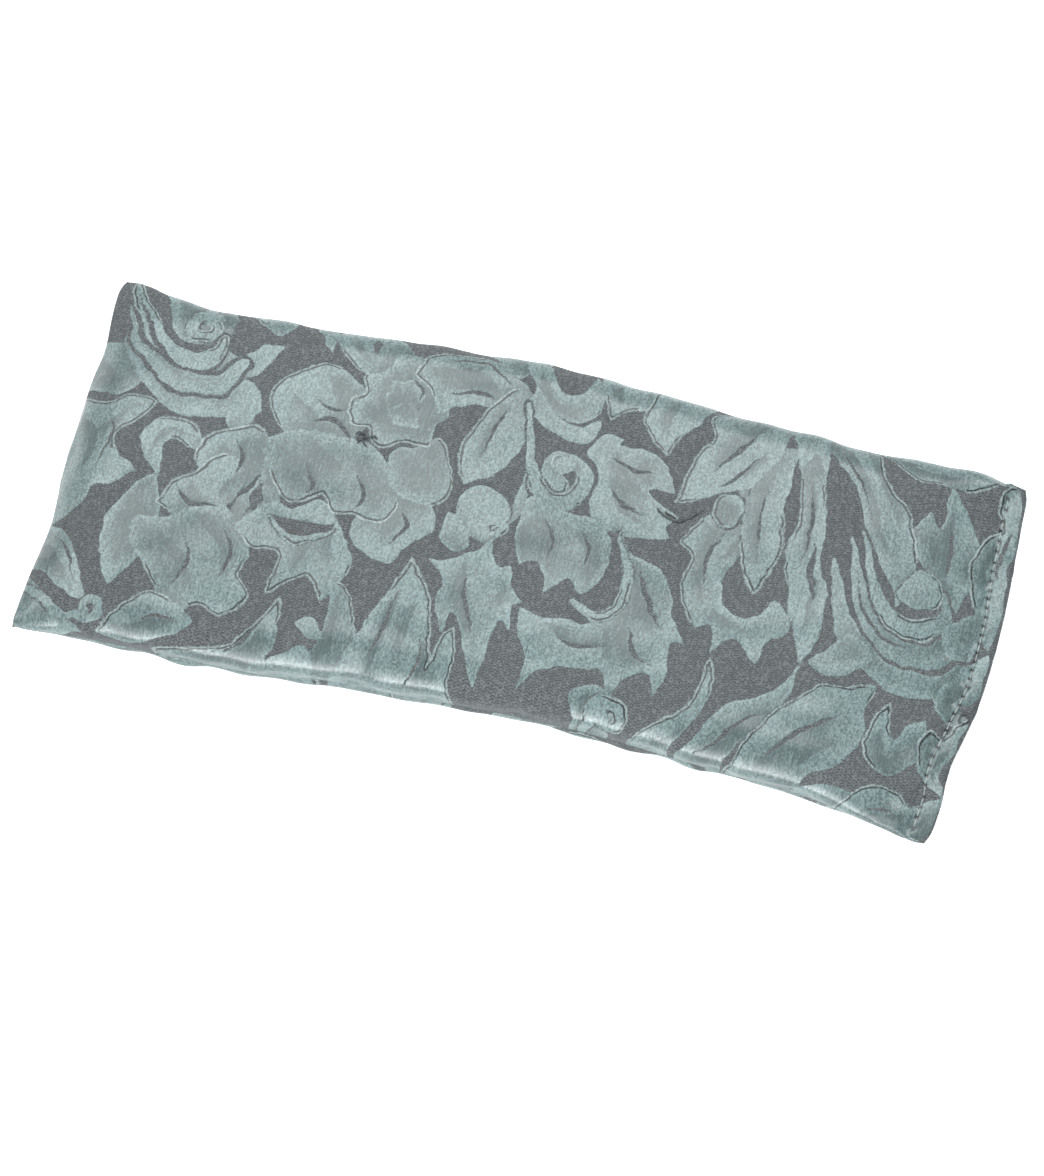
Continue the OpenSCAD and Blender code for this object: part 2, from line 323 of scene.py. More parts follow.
    def dim(self, text, widths, amount, fade):
        """A soft tapering fold let down into the satin."""
        places, distance, _, _ = self.sweep(curve(text), widths, 3.0)
        self.tone[places] += amount * np.clip(1 - np.maximum(distance, 0) / fade, 0, 1) ** 2

    def crease(self, text, way):
        """A fold line: let down on one side (way is 1 or -1) and bright along the other."""
        half = 0.3
        places, distance, along, across = self.sweep(curve(text), [half, half], 6.0 - half)
        s = np.maximum(distance + half, 0) * np.sign(across) * way
        beside = (along > 0.001) & (along < 0.999)
        strength = (np.sin(np.pi * np.clip(0.08 + 0.9 * along, 0, 1)) ** 0.6
                    * (self.satin[places] > 0)
                    * np.where(beside, 1.0, np.exp(-np.maximum(distance, 0) / 0.6)))
        dark = 0.75 * np.exp(-np.maximum(s, 0) / 2.6) * ramp(s + 0.15, 0.3)
        light = -0.28 * np.exp(-np.maximum(-s, 0) / 0.9) * ramp(0.15 - s, 0.3)
        self.tone[places] += strength * (dark + light)

    def shape(self, text, *folds, core=0.2, **style):
        """A drawn motif with soft folds let down into it."""
        self.add(outline(text), core=core, **style)
        for number, fold in enumerate(folds):
            self.crease(fold, 1 if number % 2 else -1)
            inner = [0.6] * (len(fold.split()) - 2)
            self.dim(fold, [0.1] + inner + [0.1], amount=0.16, fade=2.6)

    def petal(self, cx, cy, angle, inner, outer, half_width, ruffle, ruffles, **style):
        ca, sa = np.cos(np.radians(angle)), np.sin(np.radians(angle))

        def shade(x, y):
            u, v = (x - cx) * ca + (y - cy) * sa, -(x - cx) * sa + (y - cy) * ca
            r = np.clip(u / max(outer, 1), 0, 1)
            rays = np.sin(ruffles * np.arctan2(v, np.maximum(u, 0.5)) * 1.3)
            return 0.45 * (1 - r) ** 1.3 + 0.16 * rays * r
        points = petal_outline(cx, cy, angle, inner, outer, half_width, ruffle, ruffles)
        self.add(points, core=0.3, shade=shade, **style)


# ---- the design: each shape is its outline, then its folds ----
def far_left_scroll(weave):
    """Ribbons of a scroll that turns back on itself, with a bud in its bend."""
    weave.shape("-101,44 -99,36 -94,31.5 -87,32.5 -83.5,38 -85,46 -88,53 -103,53",
                "-97,47 -92,40 -88,36", tone=0.1)
    weave.shape("""-84,53 -84,42 -86,35 -80,31 -75,34.5 -70,36* -73,30 -76,25 -84,24 -88,30
        -84,40""", tone=0.05)
    weave.scroll("-88,50 -90.5,43", [1.0, 1.3], centre=(-90, 36.5), radii=(4.2, 1.4), start=75,
                 turns=1.05, curl_widths=[1.5, 1.5, 1.2], tone=-0.05, gap=0.3, cord=0.6, side=-0.6)
    weave.shape("-113,30 -107,29 -105,24 -101,19* -104,15.5 -109,14.5 -119,18 -119,29",
                "-114,25 -109,21 -108,17", tone=0.1)
    weave.line("-110,42 -106.5,31 -99,20.5 -90,15.4 -82,16.5 -77.5,21",
               [0.7, 2.2, 3.3, 3.7, 3.4, 1.9], core=0.15)
    weave.shape("-84,20 -79,24 -73.5,23 -71,17* -73,12 -76.5,10* -79,14", tone=0.1)
    weave.line("-111,46.5 -107.5,36 -100,25.5 -91,20.8 -82.5,22.5 -78.5,29",
               [0.6, 1.9, 2.7, 3.2, 3.0, 1.4], gap=0.9, tone=0.05, core=0.2)
    weave.line("-111.5,51 -108,41 -101.5,31 -93,26.6 -86.5,29 -85,35",
               [0.8, 1.7, 2.2, 2.5, 2.2, 0.8], gap=0.9, cord=1.0, side=1.2)
    weave.cut("-109.3,43.5 -104.5,33.5 -97.5,25.6 -91,23.6", [0.2, 0.55, 0.5, 0.1])


def left_edge(weave):
    weave.shape("""-119,12 -110,11.5 -104,14 -96,13.5* -98,9 -103.5,4 -103,-1.5 -96,-6.5* -101,-10
        -105,-11.5 -108,-17 -119,-20""",
                "-113,8 -108,1 -110,-8", "-104,9 -109,4", cord=0.9, side=1.5)
    weave.shape("-119,-19 -112,-22 -106.5,-28 -102,-36 -99.5,-43* -105,-40.5 -111,-35 -119,-32",
                "-116,-25 -110,-30 -105,-37", tone=0.1)
    weave.shape("-119,-36 -111,-40 -104,-46 -98,-53* -119,-53", tone=0.05)
    weave.scroll("-117,-39.5 -110,-42.5 -104,-46.5", [0.9, 1.1, 1.2], centre=(-97.5, -44.0),
                 radii=(3.8, 1.2), start=215, turns=1.1, curl_widths=[1.2, 1.2, 1.0],
                 tone=-0.1, gap=0.5)
    weave.shape("-91,-5* -97,-12 -100.5,-20 -99,-29 -95,-37* -90.5,-31 -88,-22 -88.5,-13",
                "-92,-10 -94,-20 -94,-30", tone=0.1, core=0.3)
    weave.shape("""-90,-6* -96,-2 -97.5,4 -94,9.5 -88,10.5 -83,7.5 -82.5,2.5* -86,4 -90,5
        -92,1.5""", "-95,2 -91,8 -86,7", gap=0.4, cord=0.8, side=0.9)


def left_flower(weave):
    """A large open flower and the leaves on its near side."""
    weave.shape("-83,1 -81,8 -75,12.5 -68,12 -65,6 -67,0 -71,-6 -78,-4",
                "-78,6 -74,1 -72,-4", cord=0.9, side=2.2)
    weave.shape("-66,8 -62,2 -60.5,-6 -63,-13 -69,-15 -71,-9 -67,-3", tone=0.1)
    weave.shape("-89,-13* -87,-6 -82,-3 -79,2.5 -74,3.5 -70,-1 -71,-8 -76,-13 -82,-17",
                "-82,-6 -78,-9 -77,-14", cord=0.9, side=2.8)
    weave.shape("""-93,-18 -87,-17 -80,-12 -73,-10 -67,-15 -63,-21 -64.5,-27 -61,-32 -66,-38
        -72,-36 -77,-40.5 -83,-36 -87,-30 -92,-25""",
                "-86,-21 -79,-25 -74,-33", "-78,-15 -72,-20 -68,-29",
                tone=0.05, core=0.3, cord=0.6, side=-1.3)
    weave.dim("-73,8 -70,1 -73,-6 -69,-12", [0.2, 1.3, 1.2, 0.2], amount=0.6, fade=2.0)
    weave.cut("-65,-1 -66.5,-7 -63,-13", [0.2, 1.0, 0.2])
    weave.shape("-95,-51* -90,-41 -84,-36.5 -77,-38 -72,-42* -76,-46 -84,-51",
                "-90,-47 -82,-43 -76,-42", tone=0.1, cord=0.8, side=2.3)
    weave.shape("-80,-53 -70,-48 -62,-44 -57,-38 -53,-29* -51.5,-37 -52,-44 -57,-53",
                "-70,-51 -60,-46 -55,-38", tone=0.1, cord=0.9, side=2.3)


def centre_left_flower(weave):
    """A flower seen from the side."""
    weave.shape("-66,15 -70,21 -67,29 -60,33.5 -52,32 -46,27 -46,18 -52,12 -60,10",
                "-64,24 -57,19 -54,14", "-57,30 -52,22", tone=0.05, cord=0.9, side=2.9)
    weave.shape("-36,8 -30,6.5 -24,2.5 -21.5,-3.5* -26,-9 -31,-14.5 -37,-14 -41,-8 -40,0",
                "-35,3 -30,-3 -33,-9", tone=0.1)
    weave.shape("""-62,-5 -56,-6 -51,-3 -46,-5.5 -41.5,-10 -39,-17 -40.5,-24 -44,-29* -47,-23.5
        -51,-24 -57,-29.5* -56.5,-22 -58,-17.5 -63,-19 -69,-14.5* -66,-10.5""",
                "-52,-8 -50,-15 -52,-21", "-60,-10 -57,-14", "-45,-10 -44,-18",
                cord=0.5, side=-1.6)
    weave.shape("""-67,9 -62,14 -52,16 -42,15 -35,9 -32,1 -35,-4.5 -42,-3.5 -47,-5 -50.5,-1*
        -55,-4 -60,-3 -65,3""",
                "-60,8 -53,4 -51,-1", "-46,11 -42,4 -38,-1", "-56,12 -48,8",
                tone=0.15, core=0.3, cord=1.0, side=-1.5)
    weave.hole(leaf_outline(base=(-62, -9), tip=(-45, -7), half_width=2.3, bow=-3.2))
    weave.line("-61,-9.5 -54,-14.5 -45,-9", [0.3, 1.2, 0.3],
               tone=-0.1, cord=1.0, side=-1.6, gap=0.4, shadow=0.2)


def ruffled_bloom(weave):
    """A ruffled bloom on the far side of that flower, and its leaves."""
    weave.shape("-37,13 -33,18 -27,22 -22,16 -20.5,9 -23,4 -29,3 -34,5",
                "-33,13 -28,12 -26,7", tone=0.25, cord=0.7, side=0.3)
    weave.shape("-59,42 -56,47.5 -48,49 -41,45 -40,39 -46,34 -53,36",
                "-54,44 -49,39", cord=0.9, side=-2.4)
    weave.hole(petal_outline(-48, 42.5, angle=100, inner=-2.2, outer=2.6, half_width=1.3,
                             ruffle=0.2))
    weave.shape("""-49,20 -50.5,25.5 -47.5,29 -49,34 -44,36.5 -41,41.5 -34,41 -31,36 -26.5,33.5
        -26.5,28 -29.5,24.5 -29.5,20 -34.5,18.5 -38.5,15 -42.5,16 -45,20""",
                "-41,36 -38,29 -42,24", "-35,36 -34,28 -32,23", "-46,27 -41,22",
                tone=0.1, core=0.2, cord=1.0, side=-2.2)
    weave.petal(-38.5, 30, angle=70, inner=-4.5, outer=5, half_width=4.0, ruffle=0.16, ruffles=6,
                shadow=0.8)
    weave.petal(-37, 26, angle=250, inner=-3, outer=4, half_width=3.4, ruffle=0.16, ruffles=5,
                tone=0.1, shadow=0.8)
    weave.shape("-83,53 -79,44 -74,38.5 -70,42 -68,49 -70,53", tone=0.1, cord=0.7, side=3.0)
    weave.shape("-66,50 -63,43 -58,36* -59,43 -58,53 -66,53", tone=0.1)


def arching_leaf(weave):
    """An arching leaf and what hangs from it, with the two curls in the middle."""
    weave.shape("""-38,36* -36,43 -29,47 -19,46 -11,41.5 -6,35* -11,36 -16,32.5 -23,32 -29,28*
        -32,33""", "-34,40 -25,42 -15,38", "-29,36 -22,37", cord=1.0, side=2.4, core=0.25)
    weave.shape("-27,53 -21,48.5 -13,43 -10,46 -12,53", tone=0.15)
    weave.shape("-12,40 -16,34 -19.5,27 -20.5,18 -18,10* -13,14 -8.5,21 -6.5,30 -8,37",
                "-12,36 -15,26 -16,17", cord=0.9, side=2.9, core=0.2)
    weave.shape("""-12,53 -9.5,44 -5,37.5 2,34.5 8,37 9,43.5 5.5,51* 4,44 0,41.5 -4,45
        -6,53""", "-7,45 -2,39 4,39", cord=0.7, side=-1.6)
    weave.shape("-8,35 -4,31 2,29 8,31 10,36 4,34 -2,35.5 -7,41", tone=0.15)
    weave.line("-5.2,23 -3.4,14 -4.4,6 -8,0.5", [0.4, 1.3, 1.5, 1.4],
               cord=1.0, side=-0.3, gap=0.6, shadow=0.2)
    weave.scroll("-5.4,1.6 -9,-1.2", [1.3, 2.2], centre=(-10.4, 5.2), radii=(5.4, 1.3), start=262,
                 turns=-0.98, curl_widths=[2.9, 3.1, 2.6], cord=1.0, side=-1.9, gap=0.5)
    weave.scroll("-8.5,36 -5.6,27 -2.2,17", [0.5, 1.2, 1.9], centre=(5.0, 18.6), radii=(7.4, 2.2),
                 start=205, turns=1.18, curl_widths=[1.9, 2.1, 2.2],
                 cord=1.0, side=-1.2, gap=0.6, shadow=0.2)
    weave.add(petal_outline(4.6, 21.2, angle=200, inner=-2.4, outer=2.6, half_width=2.2,
                            ruffle=0.05), cord=0.7, side=2.6)


def centre_leaves(weave):
    """Leaves to the right of the curls, and a leaf of many points on their near side."""
    weave.shape("8,53 9,44 12.5,36.5* 16,40 20.5,43 21,53", "13,49 14,42", cord=0.9, side=-1.2)
    weave.shape("23,53 20,44 21.5,37 28,31* 29.5,38 34,42 36,53",
                "27,48 26,39", tone=0.05, cord=0.6, side=-2.6)
    weave.shape("""8,28 9.5,31.5 13.5,33 17.5,32.5* 17,30.5 22,31.5 27.5,29.5 31,25.5 32.5,22*
        28.5,22 26,20.5* 29,18.5 35.5,15.5* 32,12 34,9.6* 28,8 20,7 15,8.5 12.8,14 13.4,20
        11,25""", "17,28 21,22 27,19", "16,21 20,14 27,11", "23,28 27,23", core=0.25)
    weave.shape("""-2,11 4,10.5 10,10.5 17,8 22,3 21,-4 17,-10.5 12.5,-7 8.5,-13* 5.5,-5
        1.5,-7* -2,1""", "3,7 7,2 8,-5", "12,5 16,0 16,-6", "1,4 2,-2", tone=0.2, core=0.25)
    weave.shape("""22,9* 26.5,4 34,0 38.5,-6 40,-11 44.5,-17* 41.5,-18 42,-25 41,-33* 37.5,-27
        33.5,-28.5 31,-35* 27,-29 22,-29.5 15.5,-30.5 8.5,-38* 8.5,-31 5,-25 4,-18* 9.5,-18.5
        14.5,-16.5 20,-18 25,-14 26.5,-7 25,1""",
                "29,0 32,-8 37,-14", "13,-20 19,-24 26,-23", "30,-12 32,-20 36,-24",
                "24,-18 27,-26", core=0.25)
    weave.line("22,7 27,0 27.5,-10 22,-16 15.5,-12.5", [0.3, 1.0, 1.3, 1.3, 0.6],
               tone=-0.1, cord=1.0, side=-0.6, gap=0.4, shadow=0.2)
    weave.shape("-20,3 -15,0 -12,-5 -15,-8 -19.5,-5", tone=0.2)
    weave.shape("""-22,-11* -16,-10 -11,-6.5 -8,-1.5* -5.5,-7 -1,-7.5 0.5,-12.5 5,-16.5* 2,-18.5
        3,-25* -0.5,-22.5 -1.5,-31 -1.5,-41* -5.5,-34 -8,-27 -11.5,-23 -13,-30* -16.5,-22
        -16,-16""", "-11,-11 -9,-20 -5,-28", "-3,-12 -3,-19", tone=0.05, core=0.25)


def near_edge(weave):
    """Cups and small leaves, then long swept leaves to the right."""
    weave.shape("-43,-22* -38,-23 -34.5,-30 -33,-38 -36,-53 -46,-53 -43,-44 -41,-34",
                "-39,-28 -38,-38 -41,-48", tone=0.1, cord=0.8, side=0.2)
    weave.shape("""-25,-12* -27.5,-20 -30,-27 -33,-35 -35,-43 -35,-53 -9,-53 -8,-42 -8.5,-33
        -10,-27* -13,-31 -14.5,-39* -16,-30 -18,-22 -22,-16""",
                "-25,-20 -26,-32 -28,-46", "-17,-33 -16,-44", "-21,-24 -21,-36",
                core=0.2, cord=0.9, side=0.4)
    weave.shape("-48,-36 -44,-33 -40,-37.5* -44,-39", tone=0.1)
    weave.shape("-57,-53 -50,-44 -44,-41 -41,-47 -44,-53", tone=0.1)
    weave.shape("21,-36 26,-33 31,-33.5 34,-37 30,-40 32,-46 28,-53 20,-53 23,-44",
                "26,-36 27,-43", tone=0.1)
    weave.scroll("24,-50 27,-44", [1.2, 1.5], centre=(31.5, -40.0), radii=(4.4, 1.4), start=190,
                 turns=-1.1, curl_widths=[1.6, 1.8, 1.5], tone=-0.05, gap=0.4, cord=0.6, side=0.4)
    weave.shape("36,-49 43,-39 48.5,-33 51,-26 52,-17* 54,-26 52.5,-34 48,-42 45,-53",
                "43,-46 49,-37", tone=0.1, cord=0.7, side=2.4)
    weave.shape("""48,-53 53,-39 58,-31 65,-25 71,-20 74,-12* 72.5,-22 70,-31 65,-37 60,-44
        58,-53""", "55,-46 61,-37 68,-28", tone=0.1, core=0.25)
    weave.shape("""60,-53 65,-38 70,-28 77,-20.5 85,-16.5 93,-13.5* 90.5,-20 92,-29 88,-37
        81,-42 78,-53""", "69,-44 75,-33 85,-25", "79,-39 86,-32",
                core=0.25, cord=1.0, side=2.4, gap=0.4)
    weave.shape("75,-53 81,-46 88,-43 94,-44 96,-53", tone=0.1)


def right_fan(weave):
    """A fan of leaves from one root."""
    weave.shape("73,53 80,48 88,42 96,43.5 104,45.5 111,50* 108,53",
                "80,50 90,47 101,48", tone=0.1, cord=0.9, side=-1.6)
    weave.shape("""98,17 92.5,22 90,29 94,34.5* 97,31 97,44* 102,38 107,31 108.5,22 106,13
        102,8""", "99,37 101,28 101,18", "95,27 97,22", tone=0.05)
    weave.shape("""119,52 111,50 109.5,43 110.5,37 107.5,32 106.5,25 108.5,18.5 110,13.5
        112.5,8 119,7""", "111,33 110,22", "116,44 115,30", cord=0.9, side=3.1)
    weave.shape("""57,53 65,46 74,35 79.5,26 85,18 90.5,12.5 92,6* 93.5,15 91.5,25 87,34
        81,40.5 74,53""", "66,49 75,40 82,30 87,20", "73,48 80,39 86,30",
                core=0.2, cord=1.0, side=0.6)
    weave.line("77,21 81,9.5 88,0 97,-4 104.5,0.5 106,8", [0.4, 1.9, 3.0, 3.3, 2.8, 1.0],
               tone=0.05, core=0.15, gap=0.3)
    weave.line("74,15 78,3 85,-6.5 95,-11 105,-9 110,-2", [0.4, 1.9, 3.0, 3.3, 2.8, 1.0],
               tone=0.1, core=0.15, gap=0.9)
    weave.line("80,24 84,13.5 91,4.6 98.5,3.2 103.5,8.5 102,15", [0.4, 1.6, 2.3, 2.4, 1.9, 0.8],
               cord=1.0, side=-1.2, gap=0.9)
    weave.cut("80,12 84.5,3.2 91,-1.6 98,-2.6", [0.1, 0.5, 0.5, 0.1])
    weave.shape("94,18 91.5,12.5 94.5,8.5 99.5,9 101.5,13.5 99,18", cord=0.5, side=0.2, gap=0.3)
    weave.shape("83,-4 78.5,-8.5 75,-13.5 80,-16 86,-13 88.5,-7", tone=0.1)
    weave.shape("""50,32 46,24 42,17 37,9.5* 41.5,6 40,-2 43,-8.5 46,-12.5* 49.5,-10.5 52,-17*
        56,-12 62.5,-18* 64,-11 68,-8 67,-2 63,0 60,-5 55,-6.5 51,-3 50,4 52,12 54,22""",
                "46,16 44,6 46,-3", "51,18 47,8", "50,-6 56,-9",
                tone=0.05, core=0.2, cord=0.8, side=2.9)
    weave.shape("""60,44 61,32 63.5,22 62,13 66,4 68.5,-5 73,-15* 75.5,-6 74.5,5 71,14
        70.5,22* 68,31 67,42""", "64,36 67,24 67,12", "71,8 71,-4",
                core=0.2, cord=0.9, side=3.0, gap=0.3)
    weave.cut("68.5,18 70,10 72,3", [0.2, 0.9, 0.2])
    weave.shape("53,38 49.5,26 50,15 53,7 56.5,0.5* 60.5,8 61,18 58.5,28 58,40",
                "54,30 55,18 56,8", tone=0.05, core=0.2, cord=0.6, side=-0.8, gap=0.3)
    weave.shape("""46,53 40.5,49.5 36.5,44 38.5,38 34.5,32.5 33,20* 39,21.5 45.5,26 51,29.5
        54.5,38 55,53""", "50,47 45,39 40,30", "51,38 46,31", core=0.2, cord=1.0, side=2.8)
    weave.petal(46, 20.5, angle=80, inner=-4.6, outer=4.6, half_width=3.2, ruffle=0.04, ruffles=5,
                gap=0.5, tone=0.15, cord=1.0, side=3.3, shadow=0.6)
    weave.shape("54,53 57,44 60,36 64,42 68,36 66,46 64,53", tone=0.05)


def right_edge(weave):
    weave.shape("108,12 104,6 106,0 111,1 113.5,6 112,12", tone=0.2)
    weave.shape("119,4 115,3 111,-1 108.5,-6 105.5,-11 110,-16 119,-14",
                "114,-6 110,-11", tone=0.1)
    weave.shape("""97,-17* 93,-22 93,-30 98,-35 104,-32 107,-25 105.5,-18* 102,-21 100,-26
        97.5,-24""", "96,-24 98,-31 103,-27", tone=0.1, cord=0.7, side=3.0)
    weave.shape("105.5,-25 107,-20.5 111,-20 113,-15.5 119,-15 119,-37 112,-35 107,-31",
                "113,-21 110,-28", "116,-22 115,-32", tone=0.1, cord=0.9, side=2.6)
    weave.shape("90,-53 92,-45 97,-39.5 103,-38 107,-40.5 112,-37 119,-38 119,-53",
                "98,-48 106,-43", "109,-41 110,-48", tone=0.15, cord=0.6, side=2.2)


# Wedges and slits of ground let into the satin: path, then weights at start, middle and end.
SLITS = [
    ("-60,25 -55,22 -50.5,23", 0.1, 0.8, 0.2), ("-58,18 -53,19.5 -48,16", 0.2, 1.3, 0.4),
    ("-86,-6 -81,-11 -74,-10", 0.2, 1.2, 0.1), ("-76,9.5 -72,4 -73,-1", 0.1, 1.1, 0.3),
    ("-68,-12 -65,-6 -66,0", 0.1, 0.8, 0.1), ("-80,-20 -77,-27 -80,-33", 0.1, 0.9, 0.1),
    ("-72,-15 -68,-22 -69,-29", 0.1, 1.0, 0.2), ("-108,9 -105,3 -107,-6", 0.1, 0.7, 0.1),
    ("-113,-24 -107,-30 -103,-38", 0.1, 0.7, 0.1), ("-88,-45 -81,-42 -75,-43", 0.1, 0.7, 0.2),
    ("-68,-49 -60,-44 -55,-36", 0.1, 0.8, 0.1), ("-31,0 -28,-4 -31,-10", 0.2, 1.1, 0.2),
    ("-57,6 -53,1 -54,-2", 0.1, 0.7, 0.3), ("-45,8 -41,2 -42,-2", 0.1, 0.9, 0.3),
    ("-39,35 -35,33 -34,28", 0.1, 0.6, 0.1), ("-31,44 -22,44.5 -13,40", 0.1, 1.0, 0.1),
    ("-27,34.5 -21,36 -15,35.5", 0.1, 1.2, 0.1), ("-12,35 -15,27 -16.5,19", 0.1, 0.5, 0.1),
    ("16,27 21,25 26,25.5", 0.1, 1.0, 0.1), ("16,20 21,15.5 28,13.5", 0.1, 0.9, 0.1),
    ("2,8 6,3 7,-3", 0.1, 0.7, 0.1), ("12,7 16,2 16,-4", 0.1, 0.8, 0.1),
    ("29,1 33,-8 38,-15", 0.1, 1.0, 0.1), ("13,-21 19,-24.5 26,-23", 0.1, 0.9, 0.1),
    ("31,-15 33.5,-21 38,-25", 0.1, 0.9, 0.1), ("-11,-12 -8.5,-20 -5,-28", 0.1, 0.8, 0.1),
    ("-26,-22 -27,-31 -29,-41", 0.1, 0.9, 0.1), ("-17.5,-31 -17,-39 -19,-46", 0.1, 0.7, 0.1),
    ("54,-45 60,-37 67,-29", 0.1, 0.9, 0.1), ("70,-42 77,-32 86,-25", 0.1, 1.0, 0.1),
    ("99,35 101,27 101,18", 0.1, 1.0, 0.1), ("66,47 74,38 81,28", 0.1, 0.7, 0.1),
    ("46,15 44.5,6 47,-3", 0.1, 0.8, 0.1), ("64,33 66.5,23 66.5,12", 0.1, 0.8, 0.1),
    ("54,29 55,18 56,9", 0.1, 0.7, 0.1), ("49,45 45,38 40,30", 0.1, 1.0, 0.1),
    ("50,37 46.5,31 42,26", 0.1, 0.7, 0.1), ("113,38 112,31 112.5,22", 0.1, 0.9, 0.1),
    ("97,-47 101,-44 107,-44", 0.1, 0.8, 0.1),
]
SLIT_WIDTH = 0.62     # half width of a slit of weight 1


def draw_design(weave):
    """An all-over damask; later motifs lie over earlier ones."""
    for draw in (far_left_scroll, left_edge, left_flower, centre_left_flower, ruffled_bloom,
                 arching_leaf, centre_leaves, near_edge, right_fan, right_edge):
        draw(weave)
    for path, *weights in SLITS:
        weave.cut(path, [SLIT_WIDTH * weight for weight in weights])


# ---- the filled bag: position-based cloth on two sewn sheets ----
def pull(sheets, axis, apart, rest, stiffness, push=1.0):
    """Brings points some places apart along an axis to their rest length.

    Each pass moves pairs that share no point. push scales the answer to being too short.
    """
    lead = (slice(None),) * axis
    for start in range(2 * apart):
        first = np.arange(start, sheets.shape[axis] - apart, 2 * apart)
        a, b = lead + (first,), lead + (first + apart,)
        span = sheets[b] - sheets[a]
        length = np.sqrt((span * span).sum(-1)) + 1e-9
        excess = (length - rest[a[1:]]) / length
        excess = np.where(excess < 0, excess * push, excess) * 0.5 * stiffness
        move = span * excess[..., None]
        sheets[a] += move
        sheets[b] -= move


def pull_diagonals(sheets, rest, stiffness):
    left, right = np.arange(COLUMNS), np.arange(1, COLUMNS + 1)
    for columns, next_columns in ((left, right), (right, left)):
        for start in (0, 1):
            rows = np.arange(start, ROWS, 2)
            a, b = np.ix_([0, 1], rows, columns), np.ix_([0, 1], rows + 1, next_columns)
            span = sheets[b] - sheets[a]
            length = np.sqrt((span * span).sum(-1)) + 1e-9
            move = span * ((length - rest) / length * 0.5 * stiffness)[..., None]
            sheets[a] += move
            sheets[b] -= move


def heap_top(x, y):
    """How high the seed heap lets the cloth stand."""
    ends = (ramp(x + HALF_X + SPARE_LEFT, 19) ** 0.5
            * ramp(STITCH_X + SPARE_RIGHT - x, 40) ** 0.55)
    sides = (ramp(HALF_Y + y + SPARE_SIDE, 12.5) ** 0.45
             * ramp(HALF_Y + SPARE_SIDE - y, 13) ** 0.5)
    heap = 1 - 0.10 * ((y / HALF_Y) ** 2 + 0.6 * (x / HALF_X) ** 2)
    uneven = 0.45 * lumps(x, y, seed=21, count=26, waves=(24, 70))
    return 5.0 + (10.6 * heap + uneven) * ends * sides


